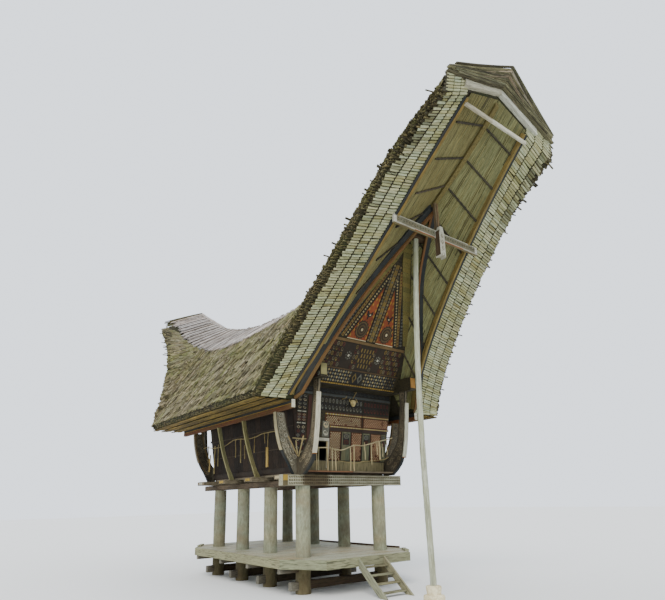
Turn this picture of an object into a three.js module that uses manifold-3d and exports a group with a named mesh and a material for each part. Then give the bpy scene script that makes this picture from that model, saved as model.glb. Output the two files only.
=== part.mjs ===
// A raised rice barn with a boat-shaped saddle roof.
// It stands on eight round posts over an open sitting platform. The store room above has leaning
// walls, and the bamboo roof rises at both ends, the front one higher, with a pole under its prow.
// Millimetres, +Z up. The front gable faces -Y. While it is built, y = 0 is the front row of posts;
// at the end the whole group is moved so that the origin is under the middle of its outer box.
import * as THREE from 'three';
import { mergeVertices } from 'three/addons/utils/BufferGeometryUtils.js';
import Module from 'manifold-3d';

const wasm = await Module();
wasm.setup();

// Gap kept where one piece rests on another or passes through it.
const GAP = 0.3;

// Posts and the ties between them.
const POST_RADIUS = 188;
const POST_HEIGHT = 2540;
const POST_SIDES = 20;
const POST_X = 1277;
const ROW_COUNT = 4;
const ROW_SPACING = 1577;
const BACK_ROW_Y = (ROW_COUNT - 1) * ROW_SPACING;
const MIDDLE_Y = BACK_ROW_Y / 2;
const LOW_TIE = { halfLength: 1660, width: 140, bottom: 90, top: 290 };
const FLOOR_BEARER = { width: 120, bottom: 500, top: 785 };

// Sitting platform: an octagon of planks with upright boards round it.
const PLATFORM_TOP = 836.5;
const PLATFORM_HALF_WIDTH = 2030;
const PLATFORM_FRONT_Y = -1070;
const PLATFORM_FRONT_HALF = 1350;
const PLATFORM_SIDE_START_Y = -100;
const EDGE_BOARD_THICKNESS = 50;
const EDGE_BOARD_BOTTOM = 620;

// Ladder up to the platform.
const LADDER = {
  left: -400,
  right: 470,
  board: 50,
  boardDepth: 170,
  topZ: 800,
  footY: -2020,
  treadHeights: [620, 450, 280, 110],
  treadDepth: 150,
  treadThickness: 36,
};

// Pole under the prow and its stepped footing.
const POLE = { footX: 120, footY: -2950, topX: 0, topY: -3220, topZ: 8450, footRadius: 73, topRadius: 63, sides: 12 };
const FOOTING = { baseHalf: 200, stepZ: 170, neckHalf: 128, topHalf: 145, topZ: 350 };

// Timbers on top of the posts.
const SILL = { inner: 1150, outer: 1400, top: 2700, backY: 5700 };
const FRONT_BEAM = { halfLength: 2000, front: -210, back: -10, top: 2809.7 };
const JOIST_HALF_LENGTH = 1900;
const JOIST_SPANS = [[-9.7, 370], [1540, 1990], [3190, 3590], [4620, 5150]];
const STORE_FLOOR = { bottom: 2810, top: 2860, halfWidth: 1468, overhang: 33 };

// Store room: its four walls lean outwards.
const WALL = { thickness: 45, bottom: 2860.3, top: 5100, reference: 2850 };
const WALL_HALF_WIDTH = 1475;
const SIDE_LEAN = 0.082;
const WALL_FRONT_Y = -35;
const FRONT_LEAN = 0.128;
const DOORWAY = { left: -940, right: -600, bottom: 3200, top: 3660 };
const WALL_PLATE = { inner: 1450, outer: 1640, top: 5460, overhang: 1340 };

// Gable panel over the front and back wall, leaning out under the roof.
const GABLE = {
  footY: -630, footZ: 5170, lean: 0.68, thickness: 40, sillFront: -660, sillBack: -280, top: 9150, halfWidth: 1950,
};

// Curved boards at the corners, which carry the eaves and the wall plates.
// Their curves are given by points: (y, z) on the forward board, (x, z) on the sideways one.
const CORNER_BOARD_THICKNESS = 60;
const CORNER_BOARD_X = 1502;
const FRONT_SIDE_BOARD_Y = -70;
const BACK_SIDE_BOARD_Y = 4980;
const BOARD_FOOT = 2810.3;
const FORWARD_BOARD = {
  outer: [[-410, BOARD_FOOT], [-650, 2990], [-850, 3260], [-985, 3900], [-1060, 4700], [-1100, 5100]],
  inner: [[-850, 5100], [-850, 4700], [-750, 4030], [-650, 3700], [-380, 3380], [-170, 3260]],
  wallHeights: [3200, BOARD_FOOT],
};
const SIDEWAYS_BOARD = {
  outer: [[1620, BOARD_FOOT], [1780, 3100], [1920, 3320], [2030, 3600], [2120, 4000], [2150, 4349.7]],
  inner: [[1890, 4349.7], [1840, 4090], [1750, 3790], [1640, 3550], [1515, 3330]],
};

// Eave beams and the slanted braces under them.
const EAVE_BEAM = { inner: 2060, outer: 2160, bottom: 4350, top: 4570, frontY: -840, backY: 5900 };
const BRACE = {
  rows: [1740, 3300],
  thickness: 70,
  outer: [[1680, BOARD_FOOT], [1930, 3500], [2060, 4000], [2140, 4390]],
  inner: [[2000, 4390], [1900, 4000], [1750, 3500], [1510, BOARD_FOOT]],
};

// Roof. Distances along it are measured from the middle of the post grid.
const RIDGE_MIDDLE_Z = 8300;
const RIDGE_RISE = 12.4;
const RIDGE_POWER = 2.53;
const EAVE_Z = 4570.3;
const FRINGE_WIDTH = 950;
const EAVE_LIP = { height: 120, overhang: 20 };
// The sides of the cap lean out less than its ridge.
const KNEE_LEAN_SHARE = 0.7;
const CAP_THICKNESS = 80;
// A second layer of planks on the back end of the cap, and how far it reaches from the tip.
const CAP_BACK_LAYER = { height: 70, length: 1250, edgeShare: 0.05 };
// The slopes swell a little and are laid in courses, each of which rises towards its lower end. Both are
// shares of the slope's length.
const COURSES = { count: 6, rise: 0.02, swell: 0.004 };
const PROW_HEIGHT = 5810;
// Half width of the gable opening at the eave, and how it narrows with the climb and its square.
const OPENING = { atEave: 2110, narrowing: 1850, easing: 770 };
// Over the last part of the climb the fringe droops and narrows.
const TIP = { start: 0.757, droop: 450, power: 1.5, narrowing: 80 };
// Values that change evenly between two distances along the roof.
const RIDGE_DEPTH = { from: 5500, to: 8300, first: 420, last: 195 };
const CAP_SLOPE = { from: 3500, to: 8300, first: 0.73, last: 0.3 };
const CAP_HALF_WIDTH = { from: 6500, to: 8300, first: 1420, last: 1850 };
const STRAIGHT_SECTIONS = [800, 1600, 2400, 3150];
const SECTION_RISE = 290;
const LEAN_SPAN = 1800;
const FRONT_END = {
  sign: -1, eaveLength: 3150, reach: 5150, rise: PROW_HEIGHT, power: 1.215, lean: 0, capLean: 400, kneeLean: 60,
};
const BACK_END = {
  sign: 1, eaveLength: 3900, reach: 2600, rise: 4280, power: 2.2, lean: 1000, capLean: 1180, kneeLean: 850,
};
const RIDGE_POLE = { half: 60, depth: 120, frontAlong: 8250, backAlong: 6400, step: 250 };

// Timbers in the open prow.
const PROW_RAFTER = { thickness: 60, frontDepth: 180, backDepth: 320, apexOverlap: 40, blankRise: 100 };
const PROW_RAFTER_PATH = [[0, 6205], [280, 5665], [610, 5095], [1100, 4505], [1610, 3975], [2080, 3205]];
const COLLAR = { halfLength: 360, front: -3320, back: -3120, thickness: 110 };
const LOWER_TIE = { halfLength: 1470, front: -3880, back: -3780, bottom: 8240, top: 8400 };
const UPPER_TIE = { halfLength: 1060, front: -5800, back: -5700, bottom: 10040, top: 10160 };
const PENDANT = { halfWidth: 60, depth: 80, bottom: 7630, top: 9300 };
const PROW_BOARD = { halfWidth: 1280, apexZ: 10735, endZ: 10330, height: 180, thickness: 40 };

function material(name, colour, roughness) {
  return new THREE.MeshStandardMaterial({ name, color: colour, roughness, metalness: 0 });
}

const MATERIALS = {
  post: material('post_wood', 0x9a9688, 0.85),
  plank: material('plank_wood', 0xa79b84, 0.8),
  beam: material('weathered_beam', 0x8e8778, 0.85),
  dark: material('dark_timber', 0x4a3a2c, 0.85),
  panel: material('painted_panel', 0x5b3a2a, 0.75),
  pale: material('pale_timber', 0xb9b4a4, 0.8),
  stone: material('footing_stone', 0xcdc6ad, 0.9),
  bamboo: material('roof_bamboo', 0x8d8355, 0.9),
  cap: material('cap_planks', 0x8f8078, 0.85),
};

// A closed solid from a triangle list, with coinciding corners merged.
function solidOf(geometry) {
  const bare = geometry.clone();
  bare.deleteAttribute('normal');
  bare.deleteAttribute('uv');
  const merged = mergeVertices(bare, 1e-3);
  const mesh = new wasm.Mesh({
    numProp: 3,
    vertProperties: new Float32Array(merged.attributes.position.array),
    triVerts: new Uint32Array(merged.index.array),
  });
  return new wasm.Manifold(mesh);
}

function geometryOf(solid) {
  const mesh = solid.getMesh();
  const geometry = new THREE.BufferGeometry();
  geometry.setAttribute('position', new THREE.BufferAttribute(mesh.vertProperties, 3));
  geometry.setIndex(new THREE.BufferAttribute(mesh.triVerts, 1));
  geometry.computeVertexNormals();
  return geometry;
}

function join(...geometries) {
  return geometryOf(geometries.map(solidOf).reduce((sum, next) => sum.add(next)));
}

function cut(geometry, ...cutters) {
  return geometryOf(cutters.reduce((rest, cutter) => rest.subtract(solidOf(cutter)), solidOf(geometry)));
}

function overlapOf(first, second) {
  return geometryOf(solidOf(first).intersect(solidOf(second)));
}

// A box from its lowest to its highest corner.
function boxBetween(low, high) {
  const size = high.map((value, axis) => value - low[axis]);
  const geometry = new THREE.BoxGeometry(...size);
  geometry.translate(...high.map((value, axis) => (value + low[axis]) / 2));
  return geometry;
}

function shapeOf(outline) {
  return new THREE.Shape(outline.map(([u, v]) => new THREE.Vector2(u, v)));
}

function extruded(outline, depth) {
  return new THREE.ExtrudeGeometry(shapeOf(outline), { depth, bevelEnabled: false });
}

// Outlines of (y, z), (x, z) and (x, y) points made into slabs across X, Y and Z.
function slabAcrossX(outline, from, to) {
  const geometry = extruded(outline, to - from);
  geometry.rotateY(Math.PI / 2);
  geometry.rotateX(Math.PI / 2);
  geometry.translate(from, 0, 0);
  return geometry;
}

function slabAcrossY(outline, from, to) {
  const geometry = extruded(outline, to - from);
  geometry.rotateX(Math.PI / 2);
  geometry.translate(0, to, 0);
  return geometry;
}

function slabAcrossZ(outline, from, to) {
  const geometry = extruded(outline, to - from);
  geometry.translate(0, 0, from);
  return geometry;
}

// A ring seen along the axis that shows it largest.
function flattened(ring) {
  const views = [[1, 2], [0, 2], [0, 1]].map(([u, v]) => ring.map((point) => new THREE.Vector2(point[u], point[v])));
  const areas = views.map((view) => Math.abs(THREE.ShapeUtils.area(view)));
  return views[areas.indexOf(Math.max(...areas))];
}

// The triangles that close one end ring of a loft, turned the way that is asked for.
function endTriangles(ring, offset, reversed) {
  const outline = flattened(ring);
  const turn = Math.sign(THREE.ShapeUtils.area(outline)) * (reversed ? -1 : 1);
  return THREE.ShapeUtils.triangulateShape(outline, []).flatMap(([a, b, c]) => {
    const sense = Math.sign(THREE.ShapeUtils.area([outline[a], outline[b], outline[c]]));
    return sense === turn ? [a + offset, b + offset, c + offset] : [a + offset, c + offset, b + offset];
  });
}

function signedVolume(points, faces) {
  const corner = (index) => new THREE.Vector3(...points[index]);
  let volume = 0;
  for (let i = 0; i < faces.length; i += 3) {
    volume += corner(faces[i]).dot(corner(faces[i + 1]).cross(corner(faces[i + 2]))) / 6;
  }
  return volume;
}

// A closed solid through rings of points, which all have the same number of points.
function loft(rings) {
  const size = rings[0].length;
  const points = rings.flat();
  const faces = [];
  for (let ring = 0; ring < rings.length - 1; ring += 1) {
    for (let i = 0; i < size; i += 1) {
      const a = ring * size + i;
      const b = ring * size + ((i + 1) % size);
      faces.push(a, b, a + size, b, b + size, a + size);
    }
  }
  faces.push(...endTriangles(rings[0], 0, true));
  faces.push(...endTriangles(rings.at(-1), (rings.length - 1) * size, false));
  if (signedVolume(points, faces) < 0) {
    faces.reverse();
  }
  const geometry = new THREE.BufferGeometry();
  geometry.setAttribute('position', new THREE.Float32BufferAttribute(points.flat(), 3));
  geometry.setIndex(faces);
  geometry.computeVertexNormals();
  return geometry;
}

const barn = new THREE.Group();

function addPiece(name, geometry, look, position = [0, 0, 0]) {
  const mesh = new THREE.Mesh(geometry, look);
  mesh.name = name;
  mesh.position.set(...position);
  barn.add(mesh);
  return mesh;
}

const SIDES = [['left', -1], ['right', 1]];
const ENDS = [['front', FRONT_END], ['back', BACK_END]];

// A point measured along the barn from its middle, towards the front or the back.
function yAt(end, along) {
  return MIDDLE_Y + end.sign * along;
}

// Posts with the mortises that the ties and bearers pass through.
function postGeometry() {
  const shaft = new THREE.CylinderGeometry(POST_RADIUS, POST_RADIUS, POST_HEIGHT, POST_SIDES);
  shaft.rotateX(Math.PI / 2);
  shaft.translate(0, 0, POST_HEIGHT / 2);
  const mortise = (timber) => boxBetween(
    [-2 * POST_RADIUS, -timber.width / 2 - GAP, timber.bottom - GAP],
    [2 * POST_RADIUS, timber.width / 2 + GAP, timber.top + GAP],
  );
  return cut(shaft, mortise(LOW_TIE), mortise(FLOOR_BEARER));
}

function crossTimber(timber, halfLength) {
  return boxBetween(
    [-halfLength, -timber.width / 2, timber.bottom],
    [halfLength, timber.width / 2, timber.top],
  );
}

const rowNames = ['front', 'second', 'third', 'back'];
const post = postGeometry();
const lowTie = crossTimber(LOW_TIE, LOW_TIE.halfLength);
const bearer = crossTimber(FLOOR_BEARER, PLATFORM_HALF_WIDTH - EDGE_BOARD_THICKNESS - GAP);
rowNames.forEach((row, index) => {
  const y = index * ROW_SPACING;
  SIDES.forEach(([side, sign]) => addPiece(`post_${row}_${side}`, post, MATERIALS.post, [sign * POST_X, y, 0]));
  addPiece(`low_tie_${row}`, lowTie, MATERIALS.beam, [0, y, 0]);
  addPiece(`floor_bearer_${row}`, bearer, MATERIALS.beam, [0, y, 0]);
});

// Platform outline, anticlockwise from the front left corner.
function platformOutline() {
  const frontHalf = [
    [PLATFORM_FRONT_HALF, PLATFORM_FRONT_Y],
    [PLATFORM_HALF_WIDTH, PLATFORM_SIDE_START_Y],
  ];
  const backHalf = frontHalf.map(([x, y]) => [x, BACK_ROW_Y - y]).reverse();
  const right = [...frontHalf, ...backHalf];
  return [...right, ...right.map(([x, y]) => [-x, y]).reverse()];
}

// The same outline moved inwards by a distance. Every corner moves to where its moved edges meet.
function inset(outline, distance) {
  const edgeLine = (index) => {
    const [x, y] = outline[index];
    const [nextX, nextY] = outline[(index + 1) % outline.length];
    const length = Math.hypot(nextX - x, nextY - y);
    const normal = [-(nextY - y) / length, (nextX - x) / length];
    return { normal, offset: normal[0] * x + normal[1] * y + distance };
  };
  return outline.map((_, index) => {
    const before = edgeLine((index + outline.length - 1) % outline.length);
    const after = edgeLine(index);
    const area = before.normal[0] * after.normal[1] - before.normal[1] * after.normal[0];
    return [
      (before.offset * after.normal[1] - after.offset * before.normal[1]) / area,
      (before.normal[0] * after.offset - after.normal[0] * before.offset) / area,
    ];
  });
}

function platformFloor() {
  const outline = inset(platformOutline(), EDGE_BOARD_THICKNESS + GAP);
  const planks = slabAcrossZ(outline, FLOOR_BEARER.top + GAP, PLATFORM_TOP);
  const holeRadius = POST_RADIUS + 2 * GAP;
  const holes = [];
  for (let row = 0; row < ROW_COUNT; row += 1) {
    SIDES.forEach(([, sign]) => {
      const hole = new THREE.CylinderGeometry(holeRadius, holeRadius, PLATFORM_TOP, POST_SIDES);
      hole.rotateX(Math.PI / 2);
      hole.translate(sign * POST_X, row * ROW_SPACING, PLATFORM_TOP);
      holes.push(hole);
    });
  }
  return cut(planks, ...holes);
}

// One run of edge boards over the outline's corners from first to last.
function edgeBoards(first, last, endGap) {
  const outer = platformOutline();
  const inner = inset(outer, EDGE_BOARD_THICKNESS);
  const corners = [];
  for (let index = first; index <= last; index += 1) {
    corners.push(index % outer.length);
  }
  const outline = [...corners.map((corner) => outer[corner]), ...corners.map((corner) => inner[corner]).reverse()];
  const moved = outline.map(([x, y]) => [x, y + endGap * Math.sign(MIDDLE_Y - y)]);
  return slabAcrossZ(moved, EDGE_BOARD_BOTTOM, PLATFORM_TOP);
}

addPiece('platform_floor', platformFloor(), MATERIALS.plank);
addPiece('platform_edge_right', edgeBoards(1, 2, 2 * GAP), MATERIALS.beam);
addPiece('platform_edge_back', edgeBoards(2, 5, 0), MATERIALS.beam);
addPiece('platform_edge_left', edgeBoards(5, 6, 2 * GAP), MATERIALS.beam);
addPiece('platform_edge_front', edgeBoards(6, 9, 0), MATERIALS.beam);

// Ladder: two sloping side boards with treads between them.
function ladderGeometry() {
  const topY = PLATFORM_FRONT_Y - GAP;
  const run = topY - LADDER.footY;
  const angle = Math.atan2(LADDER.topZ, run);
  const side = [
    [topY, LADDER.topZ],
    [LADDER.footY, 0],
    [LADDER.footY + LADDER.boardDepth / Math.sin(angle), 0],
    [topY, LADDER.topZ - LADDER.boardDepth / Math.cos(angle)],
  ];
  const middleDrop = LADDER.boardDepth / Math.cos(angle) / 2;
  const treads = LADDER.treadHeights.map((height) => {
    const y = topY - (LADDER.topZ - middleDrop - height) / Math.tan(angle);
    return boxBetween(
      [LADDER.left + LADDER.board / 2, y - LADDER.treadDepth / 2, height - LADDER.treadThickness],
      [LADDER.right - LADDER.board / 2, y + LADDER.treadDepth / 2, height],
    );
  });
  return join(
    slabAcrossX(side, LADDER.left, LADDER.left + LADDER.board),
    slabAcrossX(side, LADDER.right - LADDER.board, LADDER.right),
    ...treads,
  );
}

addPiece('ladder', ladderGeometry(), MATERIALS.plank);

// Leaning pole with level ends, on a footing of two tiers.
function circleRing(x, y, z, radius, sides) {
  return Array.from({ length: sides }, (_, index) => {
    const angle = (2 * Math.PI * index) / sides;
    return [x + radius * Math.cos(angle), y + radius * Math.sin(angle), z];
  });
}

function poleGeometry() {
  return loft([
    circleRing(POLE.footX, POLE.footY, FOOTING.topZ + GAP, POLE.footRadius, POLE.sides),
    circleRing(POLE.topX, POLE.topY, POLE.topZ, POLE.topRadius, POLE.sides),
  ]);
}

// A square with cut corners.
function footingRing(half, z) {
  const short = half * 0.55;
  const corners = [[half, -short], [half, short], [short, half], [-short, half]];
  return [...corners, ...corners.map(([x, y]) => [-x, -y])].map(([x, y]) => [x, y, z]);
}

function footingGeometry() {
  return loft([
    footingRing(FOOTING.baseHalf, 0),
    footingRing(FOOTING.baseHalf * 0.96, FOOTING.stepZ),
    footingRing(FOOTING.neckHalf, FOOTING.stepZ + GAP),
    footingRing(FOOTING.topHalf, FOOTING.topZ),
  ]);
}

addPiece('prow_pole', poleGeometry(), MATERIALS.post);
addPiece('pole_footing', footingGeometry(), MATERIALS.stone, [POLE.footX, POLE.footY, 0]);

// Sills, the carved front beam, and the store floor on its wide joists.
SIDES.forEach(([side, sign]) => {
  const xs = [sign * SILL.inner, sign * SILL.outer].sort((a, b) => a - b);
  const sill = boxBetween([xs[0], FRONT_BEAM.back + GAP, POST_HEIGHT + GAP], [xs[1], SILL.backY, SILL.top]);
  addPiece(`sill_${side}`, sill, MATERIALS.beam);
});

addPiece('front_beam', boxBetween(
  [-FRONT_BEAM.halfLength, FRONT_BEAM.front, POST_HEIGHT + GAP],
  [FRONT_BEAM.halfLength, FRONT_BEAM.back, FRONT_BEAM.top],
), MATERIALS.pale);

function storeFloorGeometry() {
  const planks = boxBetween(
    [-STORE_FLOOR.halfWidth, -STORE_FLOOR.overhang, STORE_FLOOR.bottom],
    [STORE_FLOOR.halfWidth, BACK_ROW_Y + STORE_FLOOR.overhang, STORE_FLOOR.top],
  );
  const joists = JOIST_SPANS.map(([front, back]) => boxBetween(
    [-JOIST_HALF_LENGTH, front, SILL.top + GAP],
    [JOIST_HALF_LENGTH, back, STORE_FLOOR.bottom],
  ));
  return join(planks, ...joists);
}

addPiece('store_floor', storeFloorGeometry(), MATERIALS.dark);

// Half width of the store room and the place of its front face at a height.
function wallHalfWidth(z) {
  return WALL_HALF_WIDTH + SIDE_LEAN * (z - WALL.reference);
}

function wallFrontY(z) {
  return WALL_FRONT_Y - FRONT_LEAN * (z - WALL.reference);
}

function frontWallRing(z) {
  const half = wallHalfWidth(z);
  const front = wallFrontY(z);
  const back = front + WALL.thickness;
  return [[-half, front, z], [half, front, z], [half, back, z], [-half, back, z]];
}

function sideWallRing(z, sign) {
  const outer = sign * wallHalfWidth(z);
  const inner = outer - sign * WALL.thickness;
  const front = wallFrontY(z) + WALL.thickness + GAP;
  const back = BACK_ROW_Y - front;
  return [[outer, front, z], [outer, back, z], [inner, back, z], [inner, front, z]];
}

const turnedRound = (ring) => ring.map(([x, y, z]) => [-x, BACK_ROW_Y - y, z]);
const doorway = boxBetween(
  [DOORWAY.left, wallFrontY(WALL.top), DOORWAY.bottom],
  [DOORWAY.right, WALL.thickness, DOORWAY.top],
);
addPiece('front_wall', cut(loft([frontWallRing(WALL.bottom), frontWallRing(WALL.top)]), doorway), MATERIALS.panel);
addPiece('back_wall', loft([frontWallRing(WALL.bottom), frontWallRing(WALL.top)].map(turnedRound)), MATERIALS.panel);
SIDES.forEach(([side, sign]) => {
  addPiece(`${side}_wall`, loft([sideWallRing(WALL.bottom, sign), sideWallRing(WALL.top, sign)]), MATERIALS.dark);
});

// Height of the ridge over a place along the barn.
function ridgeZ(along) {
  return RIDGE_MIDDLE_Z + RIDGE_RISE * (along / 1000) ** RIDGE_POWER;
}

function changing(value, along) {
  const place = THREE.MathUtils.clamp(along, value.from, value.to);
  return THREE.MathUtils.mapLinear(place, value.from, value.to, value.first, value.last);
}

// Height of the underside of the roof under the ridge.
function underRidgeZ(along) {
  return ridgeZ(along) - changing(RIDGE_DEPTH, along);
}

// The gable edge after a part of its rise: how far along it is, its height, and the roof's half widths.
function gableEdge(end, part) {
  const along = end.eaveLength + end.reach * part ** end.power;
  const climb = (end.rise * part) / PROW_HEIGHT;
  const inner = OPENING.atEave - OPENING.narrowing * climb + OPENING.easing * climb ** 2;
  const tip = Math.max(climb - TIP.start, 0) / (1 - TIP.start);
  return {
    along,
    z: EAVE_Z + PROW_HEIGHT * climb,
    inner,
    outer: inner + FRINGE_WIDTH - TIP.narrowing * tip,
    droop: TIP.droop * tip ** TIP.power,
  };
}

// The same edge at a distance along the barn. Under the straight eave it stays at its start.
function gableEdgeAt(end, along) {
  const reached = Math.max(along - end.eaveLength, 0) / end.reach;
  return { ...gableEdge(end, reached ** (1 / end.power)), along };
}

// Underside of the roof at a place (x, along).
function undersideZ(end, x, along) {
  const edge = gableEdgeAt(end, along);
  const top = underRidgeZ(along);
  return top + ((edge.z - top) * Math.abs(x)) / edge.inner;
}

// The ridge leans out past the gable edge near the end of the roof.
function ridgeLean(end, along) {
  const past = Math.max(along - (end.eaveLength + end.reach - LEAN_SPAN), 0) / LEAN_SPAN;
  return end.lean * past ** 2;
}

// Edges at all cross-sections from the middle of the roof to one end.
function roofEdges(end) {
  const plain = [...new Set([...STRAIGHT_SECTIONS, end.eaveLength])];
  const risingCount = Math.round(end.rise / SECTION_RISE);
  const rising = Array.from({ length: risingCount }, (_, index) => gableEdge(end, (index + 1) / risingCount));
  return [...plain.map((along) => gableEdgeAt(end, along)), ...rising];
}

function capSidePoint(end, along) {
  const half = changing(CAP_HALF_WIDTH, along);
  const z = ridgeZ(along) - changing(CAP_SLOPE, along) * half - CAP_THICKNESS - GAP;
  return [half, yAt(end, along), z];
}

function ridgePoint(end, along) {
  return [0, yAt(end, along), ridgeZ(along) - CAP_THICKNESS - GAP];
}

// The stepped surface between the knee under the cap and the lip of the eave.
function courseSteps(knee, lip) {
  const slope = new THREE.Vector2(lip[0] - knee[0], lip[2] - knee[2]);
  const steps = [];
  const stepAt = (share, rise) => {
    const lift = rise + 4 * COURSES.swell * share * (1 - share);
    const [x, y, z] = knee.map((value, axis) => THREE.MathUtils.lerp(value, lip[axis], share));
    steps.push([x - slope.y * lift, y, z + slope.x * lift]);
  };
  for (let course = 1; course <= COURSES.count; course += 1) {
    stepAt(course / COURSES.count, COURSES.rise);
    if (course < COURSES.count) {
      stepAt(course / COURSES.count, 0);
    }
  }
  return steps;
}

// Points of one cross-section on the right side, from the ridge out and back in under it.
function roofSection(end, edge) {
  const lean = ridgeLean(end, edge.along);
  const ridgeAlong = edge.along + lean;
  const lipZ = edge.z - edge.droop;
  const y = yAt(end, edge.along);
  return {
    ridge: ridgePoint(end, ridgeAlong),
    knee: capSidePoint(end, edge.along + KNEE_LEAN_SHARE * lean),
    lip: [edge.outer + EAVE_LIP.overhang, y, lipZ + EAVE_LIP.height],
    outer: [edge.outer, y, lipZ],
    inner: [edge.inner, y, edge.z],
    under: [0, yAt(end, ridgeAlong), underRidgeZ(ridgeAlong)],
  };
}

const mirrored = ([x, y, z]) => [-x, y, z];

function roofRing(section) {
  const steps = courseSteps(section.knee, section.lip);
  const right = [section.knee, ...steps, section.outer, section.inner];
  return [section.ridge, ...right, section.under, ...right.map(mirrored).reverse()];
}

const raised = ([x, y, z], height) => [x, y, z + height];

// The cap's shell at one section. An upper layer of planks makes it thicker.
function capRing(section, layer = 0) {
  const low = [mirrored(section.knee), section.ridge, section.knee];
  return [
    ...low.map((point) => raised(point, GAP)),
    ...low.map((point) => raised(point, GAP + CAP_THICKNESS + layer)).reverse(),
  ];
}

// The cap runs on past the end of the roofing.
function capTip(end) {
  const length = end.eaveLength + end.reach;
  return { ridge: ridgePoint(end, length + end.capLean), knee: capSidePoint(end, length + end.kneeLean) };
}

// The cap's sections at the back end: plain ones, then a step up to the second layer of planks.
function backCapRings(backSections) {
  const tip = capTip(BACK_END);
  const layerStart = tip.ridge[1] - CAP_BACK_LAYER.length;
  const plain = backSections.filter((section) => section.ridge[1] < layerStart);
  const layered = [...backSections.filter((section) => section.ridge[1] >= layerStart), tip];
  const before = plain.at(-1);
  const after = layered[0];
  const share = (layerStart - before.ridge[1]) / (after.ridge[1] - before.ridge[1]);
  const between = (first, last, part) => first.map((value, axis) => THREE.MathUtils.lerp(value, last[axis], part));
  const stepAt = (part) => ({
    ridge: between(before.ridge, after.ridge, part),
    knee: between(before.knee, after.knee, part),
  });
  return [
    ...plain.map((section) => capRing(section)),
    capRing(stepAt(share)),
    capRing(stepAt(share + CAP_BACK_LAYER.edgeShare), CAP_BACK_LAYER.height),
    ...layered.map((section) => capRing(section, CAP_BACK_LAYER.height)),
  ];
}

const frontSections = roofEdges(FRONT_END).reverse().map((edge) => roofSection(FRONT_END, edge));
const backSections = [
  roofSection(BACK_END, gableEdgeAt(BACK_END, 0)),
  ...roofEdges(BACK_END).map((edge) => roofSection(BACK_END, edge)),
];
const roof = loft([...frontSections, ...backSections].map(roofRing));
const cap = loft([
  ...[capTip(FRONT_END), ...frontSections].map((section) => capRing(section)),
  ...backCapRings(backSections),
]);
addPiece('roof', roof, MATERIALS.bamboo);
addPiece('ridge_cap', cap, MATERIALS.cap);

// The roof moved down by its gap: what it cuts stays just clear of the underside.
const roofCutter = roof.clone().translate(0, 0, -1.5 * GAP);

// The ridge pole follows the underside of the ridge. Its blank reaches up into the roofing.
function ridgePoleBlank() {
  const rings = [];
  const half = RIDGE_POLE.half;
  for (let along = -RIDGE_POLE.frontAlong; along <= RIDGE_POLE.backAlong; along += RIDGE_POLE.step) {
    const y = MIDDLE_Y + along;
    const distance = Math.abs(along);
    const end = along < 0 ? FRONT_END : BACK_END;
    const top = underRidgeZ(distance) + CAP_THICKNESS;
    const bottom = undersideZ(end, half, distance) - RIDGE_POLE.depth;
    rings.push([[-half, y, bottom], [half, y, bottom], [half, y, top], [-half, y, top]]);
  }
  return loft(rings);
}

const poleBlank = ridgePoleBlank();
addPiece('ridge_pole', cut(poleBlank, roofCutter), MATERIALS.plank);
const poleCutters = [[0, -1.5], [-1.5, 0], [1.5, 0]].map(([x, z]) => {
  return poleBlank.clone().translate(x * GAP, 0, z * GAP);
});

function underRoof(geometry) {
  return cut(geometry, roofCutter, ...poleCutters);
}

// Wall plates: their tops are bevelled to the slope of the roof.
SIDES.forEach(([side, sign]) => {
  const xs = [sign * WALL_PLATE.inner, sign * WALL_PLATE.outer].sort((a, b) => a - b);
  const plate = boxBetween(
    [xs[0], -WALL_PLATE.overhang, WALL.top + GAP],
    [xs[1], BACK_ROW_Y + WALL_PLATE.overhang, WALL_PLATE.top],
  );
  addPiece(`wall_plate_${side}`, cut(plate, roofCutter), MATERIALS.dark);
});

// A gable panel with the sill that it stands on, made for the front and turned for the back.
function gableGeometry() {
  const { top, halfWidth, thickness } = GABLE;
  const bottom = GABLE.footZ - thickness / 2;
  const topY = GABLE.footY - GABLE.lean * (top - GABLE.footZ);
  const sheet = slabAcrossX([
    [GABLE.footY, bottom],
    [topY, top],
    [topY + thickness, top],
    [GABLE.footY + thickness, bottom],
  ], -halfWidth, halfWidth);
  const low = WALL_PLATE.inner - GAP;
  const shoulder = WALL_PLATE.top + GAP;
  const triangle = slabAcrossY([
    [-low, bottom - thickness],
    [low, bottom - thickness],
    [low, shoulder],
    [halfWidth, shoulder],
    [0, top],
    [-halfWidth, shoulder],
    [-low, shoulder],
  ], topY - thickness, 0);
  const sill = boxBetween([-low, GABLE.sillFront, WALL.top + GAP], [low, GABLE.sillBack, GABLE.footZ]);
  return join(overlapOf(sheet, triangle), sill);
}

function toBack(geometry) {
  const turned = geometry.clone();
  turned.rotateZ(Math.PI);
  turned.translate(0, BACK_ROW_Y, 0);
  return turned;
}

addPiece('front_gable', underRoof(gableGeometry()), MATERIALS.panel);
addPiece('back_gable', underRoof(toBack(gableGeometry())), MATERIALS.panel);

// A smooth line through points, sampled for an outline.
function smooth(points, steps) {
  const curve = new THREE.SplineCurve(points.map(([u, v]) => new THREE.Vector2(u, v)));
  return curve.getPoints(steps).map((point) => [point.x, point.y]);
}

// Corner boards. One runs forward under the wall plate, one runs out under the eave beam.
function forwardBoard(sign, endSign) {
  const wallLine = FORWARD_BOARD.wallHeights.map((z) => [wallFrontY(z) - GAP, z]);
  const outline = [...smooth(FORWARD_BOARD.outer, 12), ...smooth(FORWARD_BOARD.inner, 12), ...wallLine];
  const placed = outline.map(([y, z]) => [endSign < 0 ? y : BACK_ROW_Y - y, z]);
  const x = sign * CORNER_BOARD_X;
  return slabAcrossX(placed, x - CORNER_BOARD_THICKNESS / 2, x + CORNER_BOARD_THICKNESS / 2);
}

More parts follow.
